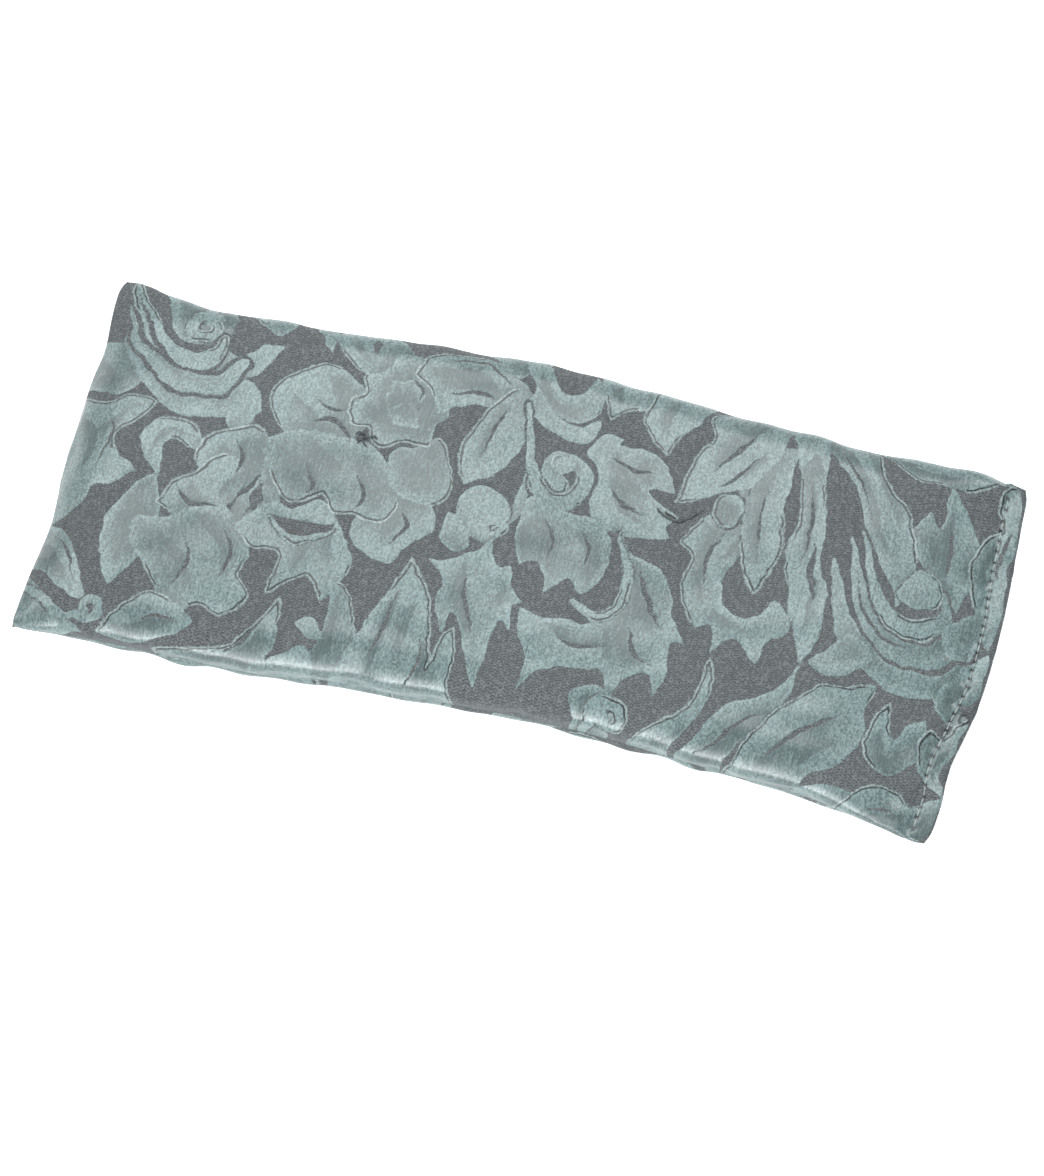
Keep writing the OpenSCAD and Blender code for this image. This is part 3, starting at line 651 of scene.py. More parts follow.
def relax_bag():
    """The two sheets blown up and settled, [2, rows, columns, 3], the front first."""
    steps, passes, ease_steps = 260, 10, 60
    damping, pressure, weight = 0.93, 0.045, 0.010
    seam_z, hem_half_gap, least_gap = 4.4, 0.5, 1.0

    xs = np.linspace(-HALF_X - SPARE_LEFT, HALF_X + SPARE_RIGHT, COLUMNS + 1)
    ys = np.linspace(-HALF_Y - SPARE_SIDE, HALF_Y + SPARE_SIDE, ROWS + 1)
    x, y = np.meshgrid(xs, ys)
    cell_x, cell_y = xs[1] - xs[0], ys[1] - ys[0]
    sheets = np.zeros((2, ROWS + 1, COLUMNS + 1, 3))
    sheets[..., 0], sheets[..., 1] = x * 0.985, y * 0.92
    sheets[0, ..., 2], sheets[1, ..., 2] = 5.2, 3.6
    rim = np.zeros(x.shape, bool)
    rim[0], rim[-1], rim[:, 0], rim[:, -1] = True, True, True, True

    # the seams are a little tight, more in some places than others
    tight_x = 0.972 + 0.012 * lumps(x, y * 0.2, seed=5, count=5, waves=(14, 40))
    tight_y = 0.965 + 0.012 * lumps(x * 0.2, y, seed=6, count=5, waves=(12, 30))
    rest_x = np.full((ROWS + 1, COLUMNS), cell_x)
    rest_y = np.full((ROWS, COLUMNS + 1), cell_y)
    hem_cells = int(round(HEM / cell_x))
    for edge in (0, -1):
        rest_x[edge] = cell_x * tight_x[edge, :-1]
        rest_y[:, edge] = cell_y * tight_y[:-1, edge]
    hem_lumps = lumps(x[:-1, -1] * 0, y[:-1, -1], seed=9, count=4, waves=(7, 22))
    rest_y[:, -1 - hem_cells] = cell_y * (0.955 + 0.03 * hem_lumps)
    pair_x = np.full((ROWS + 1, COLUMNS - 1), 2 * cell_x)
    pair_y = np.full((ROWS - 1, COLUMNS + 1), 2 * cell_y)
    pair_x[0], pair_x[-1] = 2 * cell_x * 0.97, 2 * cell_x * 0.97
    diagonal = np.hypot(cell_x, cell_y)

    top = heap_top(x, y)
    hem = np.arange(COLUMNS - hem_cells, COLUMNS + 1)
    before = sheets.copy()
    for step in range(steps):
        speed = (sheets - before) * damping
        before = sheets.copy()
        out = np.cross(np.gradient(sheets, axis=2), np.gradient(sheets, axis=1))
        out /= np.maximum(np.linalg.norm(out, axis=-1, keepdims=True), 1e-9)
        out[1] *= -1
        push = pressure * min(1.0, step / ease_steps) * (1.0 if step < steps - ease_steps else 0.6)
        sheets = sheets + speed + out * push
        sheets[..., 2] -= weight
        for _ in range(passes):
            pull(sheets, axis=2, apart=1, rest=rest_x, stiffness=0.95, push=0.9)
            pull(sheets, axis=1, apart=1, rest=rest_y, stiffness=0.95, push=0.9)
            pull_diagonals(sheets, diagonal, stiffness=0.35)
            pull(sheets, axis=2, apart=2, rest=pair_x, stiffness=0.12)
            pull(sheets, axis=1, apart=2, rest=pair_y, stiffness=0.12)
            middle = (sheets[0][rim] + sheets[1][rim]) / 2
            middle[:, 2] = middle[:, 2] * 0.5 + 0.5 * seam_z
            sheets[0][rim], sheets[1][rim] = middle, middle
            # the closing topstitch holds the hem flat
            middle = (sheets[0][:, hem] + sheets[1][:, hem]) / 2
            middle[..., 2] = middle[..., 2] * 0.6 + 0.4 * seam_z
            sheets[0][:, hem] = middle + [0, 0, hem_half_gap]
            sheets[1][:, hem] = middle - [0, 0, hem_half_gap]
            middle = (sheets[0][rim] + sheets[1][rim]) / 2
            sheets[0][rim], sheets[1][rim] = middle, middle
            # the sheets stay below the heap's top, above the floor and apart
            sheets[0, ..., 2] = np.minimum(sheets[0, ..., 2], top)
            sheets[..., 2] = np.maximum(sheets[..., 2], 0.0)
            gap = sheets[0, ..., 2] - sheets[1, ..., 2]
            part = np.where(~rim & (gap < least_gap), (least_gap - gap) / 2, 0)
            sheets[0, ..., 2] += part
            sheets[1, ..., 2] -= np.minimum(part, sheets[1, ..., 2])
    return sheets


# ---- how the bag lies: each seam seen from above, as place along it, place across it ----
FAR_SEAM = parse("""-116,49.1 -104,44.9 -92,42.7 -78,43.7 -60,44.3 -40,46.8 -20,48.8 0,49.3
    25,48.7 50,47.4 75,46.6 95,50.4 108,50.9 116,50.4""")
NEAR_SEAM = parse("""-116,-50 -100,-48.1 -85,-47.5 -65,-47.1 -50,-46.7 -38,-43.2 -20,-43.2
    0,-41.6 25,-40.9 45,-41.8 62,-43.1 80,-42.9 92,-45.3 104,-47.5 116,-49.6""")
LEFT_SEAM = parse("""-50,-116.1 -43,-115.5 -32,-114.9 -20,-113.7 -5,-115.2 10,-115 22,-115.1
    30,-113.9 38,-115.1 46,-115.5 50,-114.9""")
RIGHT_SEAM = parse("""-50,113.5 -43,114.3 -36,114.6 -30,113.6 -20,115.6 -8,117.1 5,117.3
    15,117.1 28,116.2 40,115.1 48,114.8 52,113.8""")
# Corners: 0 left or 1 right, 0 near or 1 far, radius.
CORNERS = ((0, 1, 3.6), (1, 1, 2.6), (1, 0, 3.2), (0, 0, 2.2))


def seam_at(stations, place):
    """A smoothed curve through the stations of a seam."""
    xs, ys = stations.T
    fine = np.linspace(xs[0], xs[-1], 400)
    line = np.interp(fine, xs, ys)
    kernel = np.exp(-0.5 * (np.arange(-30, 31) / 11.0) ** 2)
    kernel /= kernel.sum()
    padded = np.concatenate([2 * line[0] - line[30:0:-1], line,
                             2 * line[-1] - line[-2:-32:-1]])
    return np.interp(place, fine, np.convolve(padded, kernel, "valid"))


def lay_out(sheets):
    """Fits the relaxed sheets to the run of the seams."""
    near, far = sheets[0, 0, :, 1], sheets[0, -1, :, 1]
    left, right = sheets[0, :, 0, 0][:, None], sheets[0, :, -1, 0][:, None]
    ty = (sheets[..., 1] - near) / (far - near)
    tx = (sheets[..., 0] - left) / (right - left)
    cloth_x = -HALF_X + 2 * HALF_X * tx
    cloth_y = -HALF_Y + 2 * HALF_Y * ty
    del cloth_x
    x = seam_at(LEFT_SEAM, cloth_y) * (1 - tx) + seam_at(RIGHT_SEAM, cloth_y) * tx
    y = seam_at(NEAR_SEAM, x) * (1 - ty) + seam_at(FAR_SEAM, x) * ty
    for at_right, at_far, radius in CORNERS:
        qx = np.clip(1 - (1 - tx if at_right else tx) * 2 * HALF_X / radius, 0, 1)
        qy = np.clip(1 - (1 - ty if at_far else ty) * 2 * HALF_Y / radius, 0, 1)
        inset = 1 - np.maximum(qx, qy) / np.maximum(np.hypot(qx, qy), 1e-9)
        inset = np.where((qx > 0) & (qy > 0), inset, 0)
        x = x + inset * qx * radius * (-1 if at_right else 1)
        y = y + inset * qy * radius * (-1 if at_far else 1)
    return np.stack([x, y, sheets[..., 2]], -1)


# ---- from relaxed sheets to fine cloth ----
def spline_matrix(cells):
    """Takes cells + 1 control rows to FINE points per cell on a cubic B-spline."""
    weights = np.zeros((cells * FINE + 1, cells + 3))
    for i in range(cells * FINE + 1):
        cell = min(i // FINE, cells - 1)
        t = i / FINE - cell
        weights[i, cell:cell + 4] += [(1 - t) ** 3 / 6, (3 * t ** 3 - 6 * t ** 2 + 4) / 6,
                                      (-3 * t ** 3 + 3 * t ** 2 + 3 * t + 1) / 6, t ** 3 / 6]
    # rows added past each end make the spline pass through the end rows
    ends = np.zeros((cells + 3, cells + 1))
    ends[1:-1] = np.eye(cells + 1)
    ends[0, 0], ends[0, 1], ends[-1, -1], ends[-1, -2] = 2, -1, 2, -1
    return weights @ ends


def refine(sheet):
    return np.einsum("ij,jkc,lk->ilc", spline_matrix(ROWS), sheet, spline_matrix(COLUMNS),
                     optimize=True)


def normals(sheet, up):
    normal = np.cross(np.gradient(sheet, axis=1), np.gradient(sheet, axis=0))
    normal = normal * (1.0 if up else -1.0)
    return normal / np.maximum(np.linalg.norm(normal, axis=-1, keepdims=True), 1e-12)


def on_sheet(sheet, x, y):
    """Bilinear lookup in a fine grid at flat cloth places."""
    row = (np.asarray(y) + HALF_Y) / (2 * HALF_Y) * (FINE_ROWS - 1)
    column = (np.asarray(x) + HALF_X) / (2 * HALF_X) * (FINE_COLUMNS - 1)
    row = np.clip(row, 0, FINE_ROWS - 1.001)
    column = np.clip(column, 0, FINE_COLUMNS - 1.001)
    i, j = row.astype(int), column.astype(int)
    a, b = (row - i)[..., None], (column - j)[..., None]
    return (sheet[i, j] * (1 - a) * (1 - b) + sheet[i + 1, j] * a * (1 - b)
            + sheet[i, j + 1] * (1 - a) * b + sheet[i + 1, j + 1] * a * b)


SHOULDER_FLAT = 1.75      # the shoulder of a side is this much wider than high
ARC_ANGLE = np.linspace(0, np.pi / 2, 400)
ARC_LENGTH = np.concatenate([[0], np.cumsum(np.hypot(
    np.diff(SHOULDER_FLAT * (1 - np.cos(ARC_ANGLE))), np.diff(np.sin(ARC_ANGLE))))])


def wall(length, height):
    """How far in and how far up the cloth of a full side is, at a length from the seam."""
    radius = np.minimum(6.0, 0.8 * height)
    upright = height - radius
    q = np.maximum(length - upright, 0) / radius
    angle = np.interp(q, ARC_LENGTH, ARC_ANGLE)
    over = np.maximum(q - ARC_LENGTH[-1], 0) * radius
    belly = np.sin(np.pi * np.clip(length / (upright + 1.1 * radius), 0, 1)) ** 1.6
    bulge = 0.95 * belly * np.clip(height / 8, 0, 1)
    inward = radius * SHOULDER_FLAT * (1 - np.cos(angle)) + over - bulge
    return inward, np.minimum(length, upright) + radius * np.sin(angle)


def stand_sides(sheet):
    """Sets the long sides of the front sheet up as the walls of a full bag."""
    cloth, reach = 2 * (HALF_Y + SPARE_SIDE), 23.0
    s = np.linspace(0, cloth, FINE_ROWS)[:, None]
    reach_row = int(round(reach / cloth * (FINE_ROWS - 1)))

    def smoothed_height(row):
        height = np.maximum(sheet[row, :, 2] - SEAM_Z, 0.0)
        kernel = np.exp(-0.5 * (np.arange(-24, 25) / 10.0) ** 2)
        smooth = np.convolve(np.pad(height, 24, "edge"), kernel / kernel.sum(), "valid")
        return np.maximum(smooth, 0.3)[None]

    near_height = smoothed_height(reach_row)
    far_height = smoothed_height(FINE_ROWS - 1 - reach_row)
    near_in, near_up = wall(s, near_height)
    far_in, far_up = wall(cloth - s, far_height)
    full_reach = np.full((1, FINE_COLUMNS), reach)
    near_y, far_y = sheet[0, :, 1][None], sheet[-1, :, 1][None]
    top_near = near_y + wall(full_reach, near_height)[0]
    top_far = far_y - wall(full_reach, far_height)[0]
    t = np.clip((s - reach) / (cloth - 2 * reach), 0, 1)
    y = np.where(s > cloth - reach, far_y - far_in, top_near + (top_far - top_near) * t)
    y = np.where(s < reach, near_y + near_in, y)
    # a little of what the cloth did by itself is kept
    own = sheet[..., 1] - (near_y + (far_y - near_y) * s / cloth)
    own = own - own.mean(1, keepdims=True)
    near_share, far_share = 1 - ramp(s - 13, 11), 1 - ramp(cloth - s - 13, 11)
    out = sheet.copy()
    out[..., 1] = y + 0.12 * own * ramp(np.minimum(s, cloth - s), 20)
    out[..., 2] = (sheet[..., 2] * (1 - near_share - far_share) + (SEAM_Z + near_up) * near_share
                   + (SEAM_Z + far_up) * far_share)
    return out


def fade(distance, reach, rise):
    """Rises from 0 beside a line, then dies out away from it."""
    return np.exp(-(np.maximum(distance, 0) / reach) ** 2) * ramp(distance, rise)


def pucker(sheet, up, seed):
    """Puckers along the seams and dents at the stitches, as moves along the normal."""
    x, y = GRID_X, GRID_Y
    near, far, left, stitch = y + HALF_Y, HALF_Y - y, x + HALF_X, STITCH_X - x
    move = 0.45 * lumps(x * 0.18, y, seed, count=7, waves=(5.5, 15)) * fade(stitch, 8.0, 2.0)
    rng = np.random.default_rng(seed + 9)
    dent_y = -HALF_Y + 3.0
    while dent_y < HALF_Y - 2.0:
        # a dent starts at the stitch line and dies out into the bag
        depth, length = rng.uniform(0.5, 1.35), rng.uniform(4.0, 9.0)
        width, lean = rng.uniform(1.5, 2.8), rng.uniform(-0.35, 0.35)
        inward = np.maximum(stitch, 0)
        across = np.exp(-((y - dent_y - lean * inward) / (width * (1 + 0.10 * inward))) ** 2)
        move -= (1.0 if up else 0.5) * depth * across * fade(stitch, length, 1.3)
        dent_y += rng.uniform(4.5, 10.0)
    if up:
        # a low ridge beside the stitch line
        move += 0.55 * np.exp(-((stitch - 4.2) / 3.0) ** 2) * ramp(np.minimum(near, far), 5.0)
    hem = lumps(x * 0.5, y, seed + 1, count=6, waves=(5, 14)) * ramp(-stitch, 1.2)
    move += 0.34 * hem * (1 if up else 0.4)
    move += 0.42 * lumps(x, y * 0.2, seed + 2, count=8, waves=(8, 26)) * fade(near, 9.0, 2.5)
    move += 0.36 * lumps(x, y * 0.2, seed + 3, count=8, waves=(9, 30)) * fade(far, 9.0, 2.5)
    move += 0.40 * lumps(x * 0.2, y, seed + 4, count=7, waves=(8, 22)) * fade(left, 8.0, 2.2)
    inside = ramp(np.minimum(np.minimum(near, far), left), 8.0) * ramp(stitch, 8.0)
    move += 0.10 * lumps(x, y, seed + 5, count=22, waves=(7, 18)) * inside
    return sheet + normals(sheet, up) * move[..., None]


# ---- meshes ----
def mesh_from(name, points, faces):
    """A smooth object from points in millimetres."""
    mesh = bpy.data.meshes.new(name)
    mesh.from_pydata((points / 1000.0).tolist(), [], faces)
    mesh.update()
    mesh.validate()
    mesh.polygons.foreach_set("use_smooth", [True] * len(mesh.polygons))
    thing = bpy.data.objects.new(name, mesh)
    bpy.context.scene.collection.objects.link(thing)
    return thing


def put_floats(mesh, name, values):
    layer = mesh.attributes.new(name, "FLOAT", "POINT")
    layer.data.foreach_set("value", np.asarray(values, np.float32).ravel())


def put_flat(mesh, outer, inner):
    """Keeps where each point of a shell lies on the flat cloth, in metres."""
    places = np.concatenate([outer.reshape(-1, 3), inner.reshape(-1, 3)]) / 1000.0
    layer = mesh.attributes.new("flat", "FLOAT_VECTOR", "POINT")
    layer.data.foreach_set("vector", np.asarray(places, np.float32).ravel())


def flat_places(x, y):
    return np.stack([x, y, 0 * x], -1)


def cloth_shell(name, outer, inner, up, step=1):
    """A closed sheet: an outer grid, an inner grid step times coarser, and a strip between."""
    outer_count = outer.shape[0] * outer.shape[1]
    outer_grid = np.arange(outer_count).reshape(outer.shape[:2])
    inner_grid = np.arange(inner.shape[0] * inner.shape[1]).reshape(inner.shape[:2]) + outer_count

    def quads(grid, flip):
        q = np.stack([grid[:-1, :-1], grid[:-1, 1:], grid[1:, 1:], grid[1:, :-1]], -1)
        q = q.reshape(-1, 4)
        return (q[:, ::-1] if flip else q).tolist()

    def ring(grid):
        sides = [grid[0, :-1], grid[:-1, -1], grid[-1, :0:-1], grid[:0:-1, 0]]
        return np.concatenate(sides).tolist()

    faces = quads(outer_grid, not up) + quads(inner_grid, up)
    fine, coarse = ring(outer_grid), ring(inner_grid)
    half = step // 2
    for k, here in enumerate(coarse):
        after = coarse[(k + 1) % len(coarse)]
        f = [fine[(k * step + m) % len(fine)] for m in range(step + 1)]
        faces += [[here, f[m + 1], f[m]] for m in range(half)]
        faces.append([here, f[half], after])
        faces += [[after, f[m + 1], f[m]] for m in range(half, step)]
    thing = mesh_from(name, np.concatenate([outer.reshape(-1, 3), inner.reshape(-1, 3)]), faces)
    # gives the strip and the two grids one winding
    bm = bmesh.new()
    bm.from_mesh(thing.data)
    bmesh.ops.recalc_face_normals(bm, faces=bm.faces)
    bm.to_mesh(thing.data)
    bm.free()
    return thing


def tubes(name, paths, radius, sides):
    """Closed round strands with narrowed ends along paths, one mesh."""
    points, faces = [], []
    for path in paths:
        count = len(path)
        along = np.gradient(path, axis=0)
        along /= np.maximum(np.linalg.norm(along, axis=1, keepdims=True), 1e-9)
        up = np.array([0.0, 0.0, 1.0])
        if abs(along[0] @ up) > 0.95:
            up = np.array([1.0, 0.0, 0.0])
        base = len(points)
        q = np.linspace(0, 1, count)
        for i in range(count):
            across = np.cross(along[i], up)
            across /= max(np.linalg.norm(across), 1e-9)
            out = np.cross(across, along[i])
            from_end = min(q[i], 1 - q[i]) * (count - 1)
            r = radius * (0.45 + 0.55 * min(1.0, from_end / 1.5))
            for k in range(sides):
                angle = 2 * math.pi * k / sides
                points.append(path[i] + across * math.cos(angle) * r + out * math.sin(angle) * r)
        for i in range(count - 1):
            for k in range(sides):
                a, b = base + i * sides + k, base + i * sides + (k + 1) % sides
                faces.append([a, b, b + sides, a + sides])
        faces.append([base + k for k in range(sides)][::-1])
        faces.append([base + (count - 1) * sides + k for k in range(sides)])
    return mesh_from(name, np.array(points), faces)


def soft(thing, material, node):
    """A cloth or thread piece that rides on neither half; its part is hidden and its place baked
    in.
    """
    thing.data.materials.append(material)
    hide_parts(node)
    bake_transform(thing)


def firm(thing, material, body, node):
    """A piece that rides on one half."""
    thing.data.materials.append(material)
    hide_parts(node)
    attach(thing, body)


# ---- materials ----
class Graph:
    """Short-hand for building a material's nodes round one Principled shader."""

    def __init__(self, name):
        self.material = bpy.data.materials.new(name)
        self.material.use_nodes = True
        self.tree = self.material.node_tree
        self.tree.nodes.clear()
        output = self.tree.nodes.new("ShaderNodeOutputMaterial")
        self.shader = self.tree.nodes.new("ShaderNodeBsdfPrincipled")
        self.tree.links.new(self.shader.outputs[0], output.inputs[0])

    def put(self, socket, value):
        if isinstance(value, bpy.types.NodeSocket):
            self.tree.links.new(value, socket)
        elif isinstance(value, tuple) and len(value) == 3 and socket.type == "RGBA":
            socket.default_value = (*value, 1.0)
        else:
            socket.default_value = value

    def make(self, kind, inputs=(), **settings):
        node = self.tree.nodes.new(kind)
        for key, value in settings.items():
            setattr(node, key, value)
        for key, value in (inputs.items() if isinstance(inputs, dict) else enumerate(inputs)):
            self.put(node.inputs[key], value)
        return node

    def node(self, kind, inputs=(), **settings):
        return self.make(kind, inputs, **settings).outputs[0]

    def attribute(self, name, output="Fac"):
        return self.make("ShaderNodeAttribute", attribute_name=name).outputs[output]

    def object_place(self):
        return self.make("ShaderNodeTexCoord").outputs["Object"]

    def math(self, operation, *values):
        return self.node("ShaderNodeMath", values, operation=operation)

    def add(self, a, b):
        return self.math("ADD", a, b)

    def less(self, a, b):
        return self.math("SUBTRACT", a, b)

    def times(self, value, by):
        return self.math("MULTIPLY", value, by)

    def line(self, value, by, plus):
        return self.math("MULTIPLY_ADD", value, by, plus)

    def stretch(self, vector, by):
        return self.node("ShaderNodeVectorMath", [vector, by], operation="MULTIPLY")

    def noise(self, vector, scale, detail=2.0, rough=0.5):
        return self.node("ShaderNodeTexNoise", {"Vector": vector, "Scale": scale,
                                                "Detail": detail, "Roughness": rough})

    def yarns(self, vector, per_metre):
        """A random value that is constant over each yarn's cell of the weave."""
        cells = self.stretch(vector, (*per_metre, 0.0))
        # moved off zero, so that no cell edge falls on an axis
        cells = self.node("ShaderNodeVectorMath", [cells, (4000.5, 4000.5, 0.5)], operation="ADD")
        cells = self.node("ShaderNodeVectorMath", [cells], operation="FLOOR")
        return self.node("ShaderNodeTexWhiteNoise", {"Vector": cells}, noise_dimensions="3D")

    def span(self, value, over, to=(0.0, 1.0), smooth=True):
        return self.node("ShaderNodeMapRange", [value, *over, *to],
                         interpolation_type="SMOOTHSTEP" if smooth else "LINEAR")

    def mix(self, amount, a, b, mode="MIX"):
        node = self.make("ShaderNodeMix", data_type="RGBA", blend_type=mode)
        for index, value in ((0, amount), (6, a), (7, b)):
            self.put(node.inputs[index], value)
        return node.outputs[2]

    def bump(self, height, distance, strength):
        return self.node("ShaderNodeBump", {"Height": height, "Distance": distance,
                                            "Strength": strength})

    def finish(self, **inputs):
        for key, value in inputs.items():
            self.put(self.shader.inputs[key.replace("_", " ")], value)
        return self.material


# Linear colours of the jacquard.
GROUND_LOW, GROUND_HIGH = (0.043, 0.048, 0.052), (0.147, 0.166, 0.172)
GROUND_FLECK = (0.228, 0.256, 0.260)
SATIN_HIGH, SATIN_LOW = (0.190, 0.273, 0.276), (0.086, 0.128, 0.132)
SATIN_DEEP, SATIN_TOP = (0.066, 0.090, 0.094), (0.298, 0.392, 0.390)
# The last colour darkens the cords and is also painted into the needle holes as shade.
SATIN_EDGE, CORD_AND_HOLE_SHADE_DARK = (0.350, 0.440, 0.435), (0.014, 0.018, 0.020)


def twill_ribs(g, flat, place):
    """Short slanting ribs that turn back on themselves, 0..1."""
    x_mm = g.times(place.outputs[0], by=1000.0)
    y_mm = g.times(place.outputs[1], by=1000.0)
    wander = g.times(g.noise(flat, scale=90.0), by=1.5)
    zigzag = g.math("PINGPONG", g.add(x_mm, wander), 0.9)
    pitch = 0.66
    phase = g.times(g.add(y_mm, g.times(zigzag, by=0.55)), by=2 * math.pi / pitch)
    return g.line(g.math("SINE", phase), by=0.5, plus=0.5)


def satin_colour(g, flat, place, cell, warp, floats):
    """Long floats across the bag, some a little proud, let down where the tone is high."""
    broad = g.noise(flat, scale=38.0, detail=3.0)
    slub = g.noise(g.stretch(flat, (430.0, 34.0, 1.0)), scale=1.0)
    slant = g.line(place.outputs[1], by=0.35, plus=place.outputs[0])
    slanted = g.node("ShaderNodeCombineXYZ", [slant, place.outputs[1], 0.0])
    stroke = g.yarns(slanted, per_metre=(2400.0, 760.0))
    patchy = g.line(g.noise(flat, scale=75.0, detail=3.0, rough=0.55), by=0.27, plus=-0.135)
    tone = g.add(g.times(g.attribute("tone"), by=1.25), patchy)
    tone = g.add(tone, g.line(broad, by=0.55, plus=-0.275))
    colour = g.mix(g.span(tone, over=(-0.10, 0.85)), SATIN_HIGH, SATIN_LOW)
    colour = g.mix(g.span(floats, over=(0.40, 0.70), to=(0.0, 0.35)), colour, SATIN_TOP)
    colour = g.mix(g.span(slub, over=(0.60, 0.78), to=(0.0, 0.20)), colour, SATIN_LOW)
    low_cell = g.span(cell, over=(0.55, 0.0), to=(0.0, 0.74), smooth=False)
    low_warp = g.span(warp, over=(0.5, 0.0), to=(0.0, 0.30), smooth=False)
    colour = g.mix(g.times(g.add(low_cell, low_warp), by=1.0), colour, SATIN_LOW)
    high_cell = g.span(cell, over=(0.58, 1.0), to=(0.0, 0.60), smooth=False)
    undimmed = g.span(tone, over=(0.15, 0.75), to=(1.0, 0.30))
    colour = g.mix(g.times(high_cell, by=undimmed), colour, SATIN_TOP)
    # the folds are drawn with single ground picks let through the satin
    limit = g.line(cell, by=0.72, plus=g.line(stroke, by=0.22, plus=0.10))
    picks = g.math("GREATER_THAN", g.times(tone, by=0.80), limit)
    return g.mix(g.times(picks, by=0.30), colour, SATIN_DEEP)


def cord_lines(g, flat, cell, step):
    """A broken dark line inside a thin bright one; returns bright and dark."""
    distance, strength = g.attribute("cordd"), g.attribute("cordk")
    broken = g.line(cell, by=0.35, plus=g.noise(flat, scale=800.0, detail=1.0))
    dash = g.span(broken, over=(0.46, 0.60), to=(0.25, 1.0))
    wander = g.line(g.less(step, 0.5), by=0.35, plus=0.42)
    dark = g.span(g.math("ABSOLUTE", g.add(distance, wander)), over=(0.30, 0.14))
    dark = g.times(g.times(dark, by=dash), by=g.span(strength, over=(0.18, 0.40)))
    bright = g.span(g.math("ABSOLUTE", g.add(distance, -0.06)), over=(0.36, 0.12))
    bright = g.times(bright, by=g.span(cell, over=(0.0, 0.7), to=(0.25, 1.0)))
    bright = g.times(bright, by=g.span(strength, over=(0.18, 0.40), to=(0.0, 0.75)))
    return bright, dark


def jacquard(name):
    """Satin motifs on a fine twill ground, patterned by the distances kept on the mesh."""
    g = Graph(name)
    flat = g.attribute("flat", "Vector")
    place = g.make("ShaderNodeSeparateXYZ", [flat])
    # the step of single yarns along an outline
    step = g.noise(flat, scale=2600.0, detail=1.0)
    satin = g.add(g.attribute("sat"), g.times(g.less(step, 0.5), by=0.42))
    mask = g.span(satin, over=(-0.10, 0.10))
    rib = twill_ribs(g, flat, place)
    cell = g.yarns(flat, per_metre=(2900.0, 2300.0))     # one value for each pick of yarn
    warp = g.yarns(flat, per_metre=(2900.0, 30.0))       # one along each warp yarn
    floats = g.noise(g.stretch(flat, (1700.0, 260.0, 1.0)), scale=1.0, detail=3.0, rough=0.62)

    mottle = g.line(cell, by=0.40, plus=g.times(warp, by=0.16))
    ground = g.mix(g.line(rib, by=0.62, plus=mottle), GROUND_LOW, GROUND_HIGH)
    flecks = g.span(cell, over=(0.70, 1.0), to=(0.0, 0.5), smooth=False)
    ground = g.mix(flecks, ground, GROUND_FLECK)
    colour = g.mix(mask, ground, satin_colour(g, flat, place, cell, warp, floats))
    bright, dark = cord_lines(g, flat, cell, step)
    colour = g.mix(bright, colour, SATIN_EDGE)
    colour = g.mix(g.times(dark, by=0.92), colour, CORD_AND_HOLE_SHADE_DARK)
    # painted shade: the needle holes are darkened where shade falls into them
    needle_hole_shade = g.span(g.attribute("hole"), over=(0.14, 0.70), to=(0.0, 0.90))
    colour = g.mix(needle_hole_shade, colour, CORD_AND_HOLE_SHADE_DARK)
    soil = g.span(g.noise(flat, scale=14.0, detail=3.0), over=(0.3, 0.75), to=(0.94, 1.04))
    colour = g.mix(1.0, colour, g.node("ShaderNodeCombineColor", [soil] * 3), "MULTIPLY")

    ribbing = g.times(g.less(1.0, mask), by=g.times(rib, by=0.55))
    height = g.add(g.times(mask, by=0.9), ribbing)
    height = g.add(height, g.times(g.times(floats, by=mask), by=0.8))
    height = g.less(height, g.times(dark, by=0.8))
    height = g.add(height, g.times(cell, by=0.30))
    rough = g.add(g.span(mask, over=(0.0, 1.0), to=(0.72, 0.32)),
                  g.line(floats, by=0.16, plus=-0.08))
    return g.finish(Base_Color=colour, Roughness=rough,
                    Normal=g.bump(height, distance=0.00011, strength=0.8),
                    Specular_IOR_Level=g.span(mask, over=(0.0, 1.0), to=(0.20, 0.50)),
                    Sheen_Weight=0.06, Sheen_Roughness=0.45, Sheen_Tint=(0.80, 0.88, 0.88))


def thread(name, low, high, rough=0.45):
    g = Graph(name)
    place = g.object_place()
    blotch = g.noise(g.stretch(place, (900.0, 900.0, 900.0)), scale=1.0, detail=3.0)
    ply = g.noise(g.stretch(place, (4200.0, 1900.0, 3100.0)), scale=1.0, detail=1.0)
    colour = g.mix(g.span(blotch, over=(0.35, 0.65)), low, high)
    return g.finish(Base_Color=colour, Roughness=rough,
                    Normal=g.bump(ply, distance=0.00006, strength=0.7),
                    Specular_IOR_Level=0.5, Sheen_Weight=0.1)


def muslin(name):
    """Plain weave with slubs."""
    g = Graph(name)
    flat = g.attribute("flat", "Vector")
    place = g.make("ShaderNodeSeparateXYZ", [flat])
    per_metre = 2 * math.pi * 1000.0 / 0.55      # phase of a yarn pair 0.55 mm wide
    across = g.math("SINE", g.times(place.outputs[0], by=per_metre))
    along = g.math("SINE", g.times(place.outputs[1], by=per_metre))
    weave = g.line(g.times(across, by=along), by=0.5, plus=0.5)
    slub = g.noise(g.stretch(flat, (90.0, 900.0, 1.0)), scale=1.0, detail=3.0)
    colour = g.mix(g.span(weave, over=(0.1, 0.9)), (0.60, 0.55, 0.44), (0.78, 0.74, 0.63))
    colour = g.mix(g.span(slub, over=(0.5, 0.75), to=(0.0, 0.4)), colour, (0.66, 0.60, 0.47))
    return g.finish(Base_Color=colour, Roughness=0.85,
                    Normal=g.bump(weave, distance=0.00012, strength=0.7),
                    Specular_IOR_Level=0.2, Sheen_Weight=0.15)


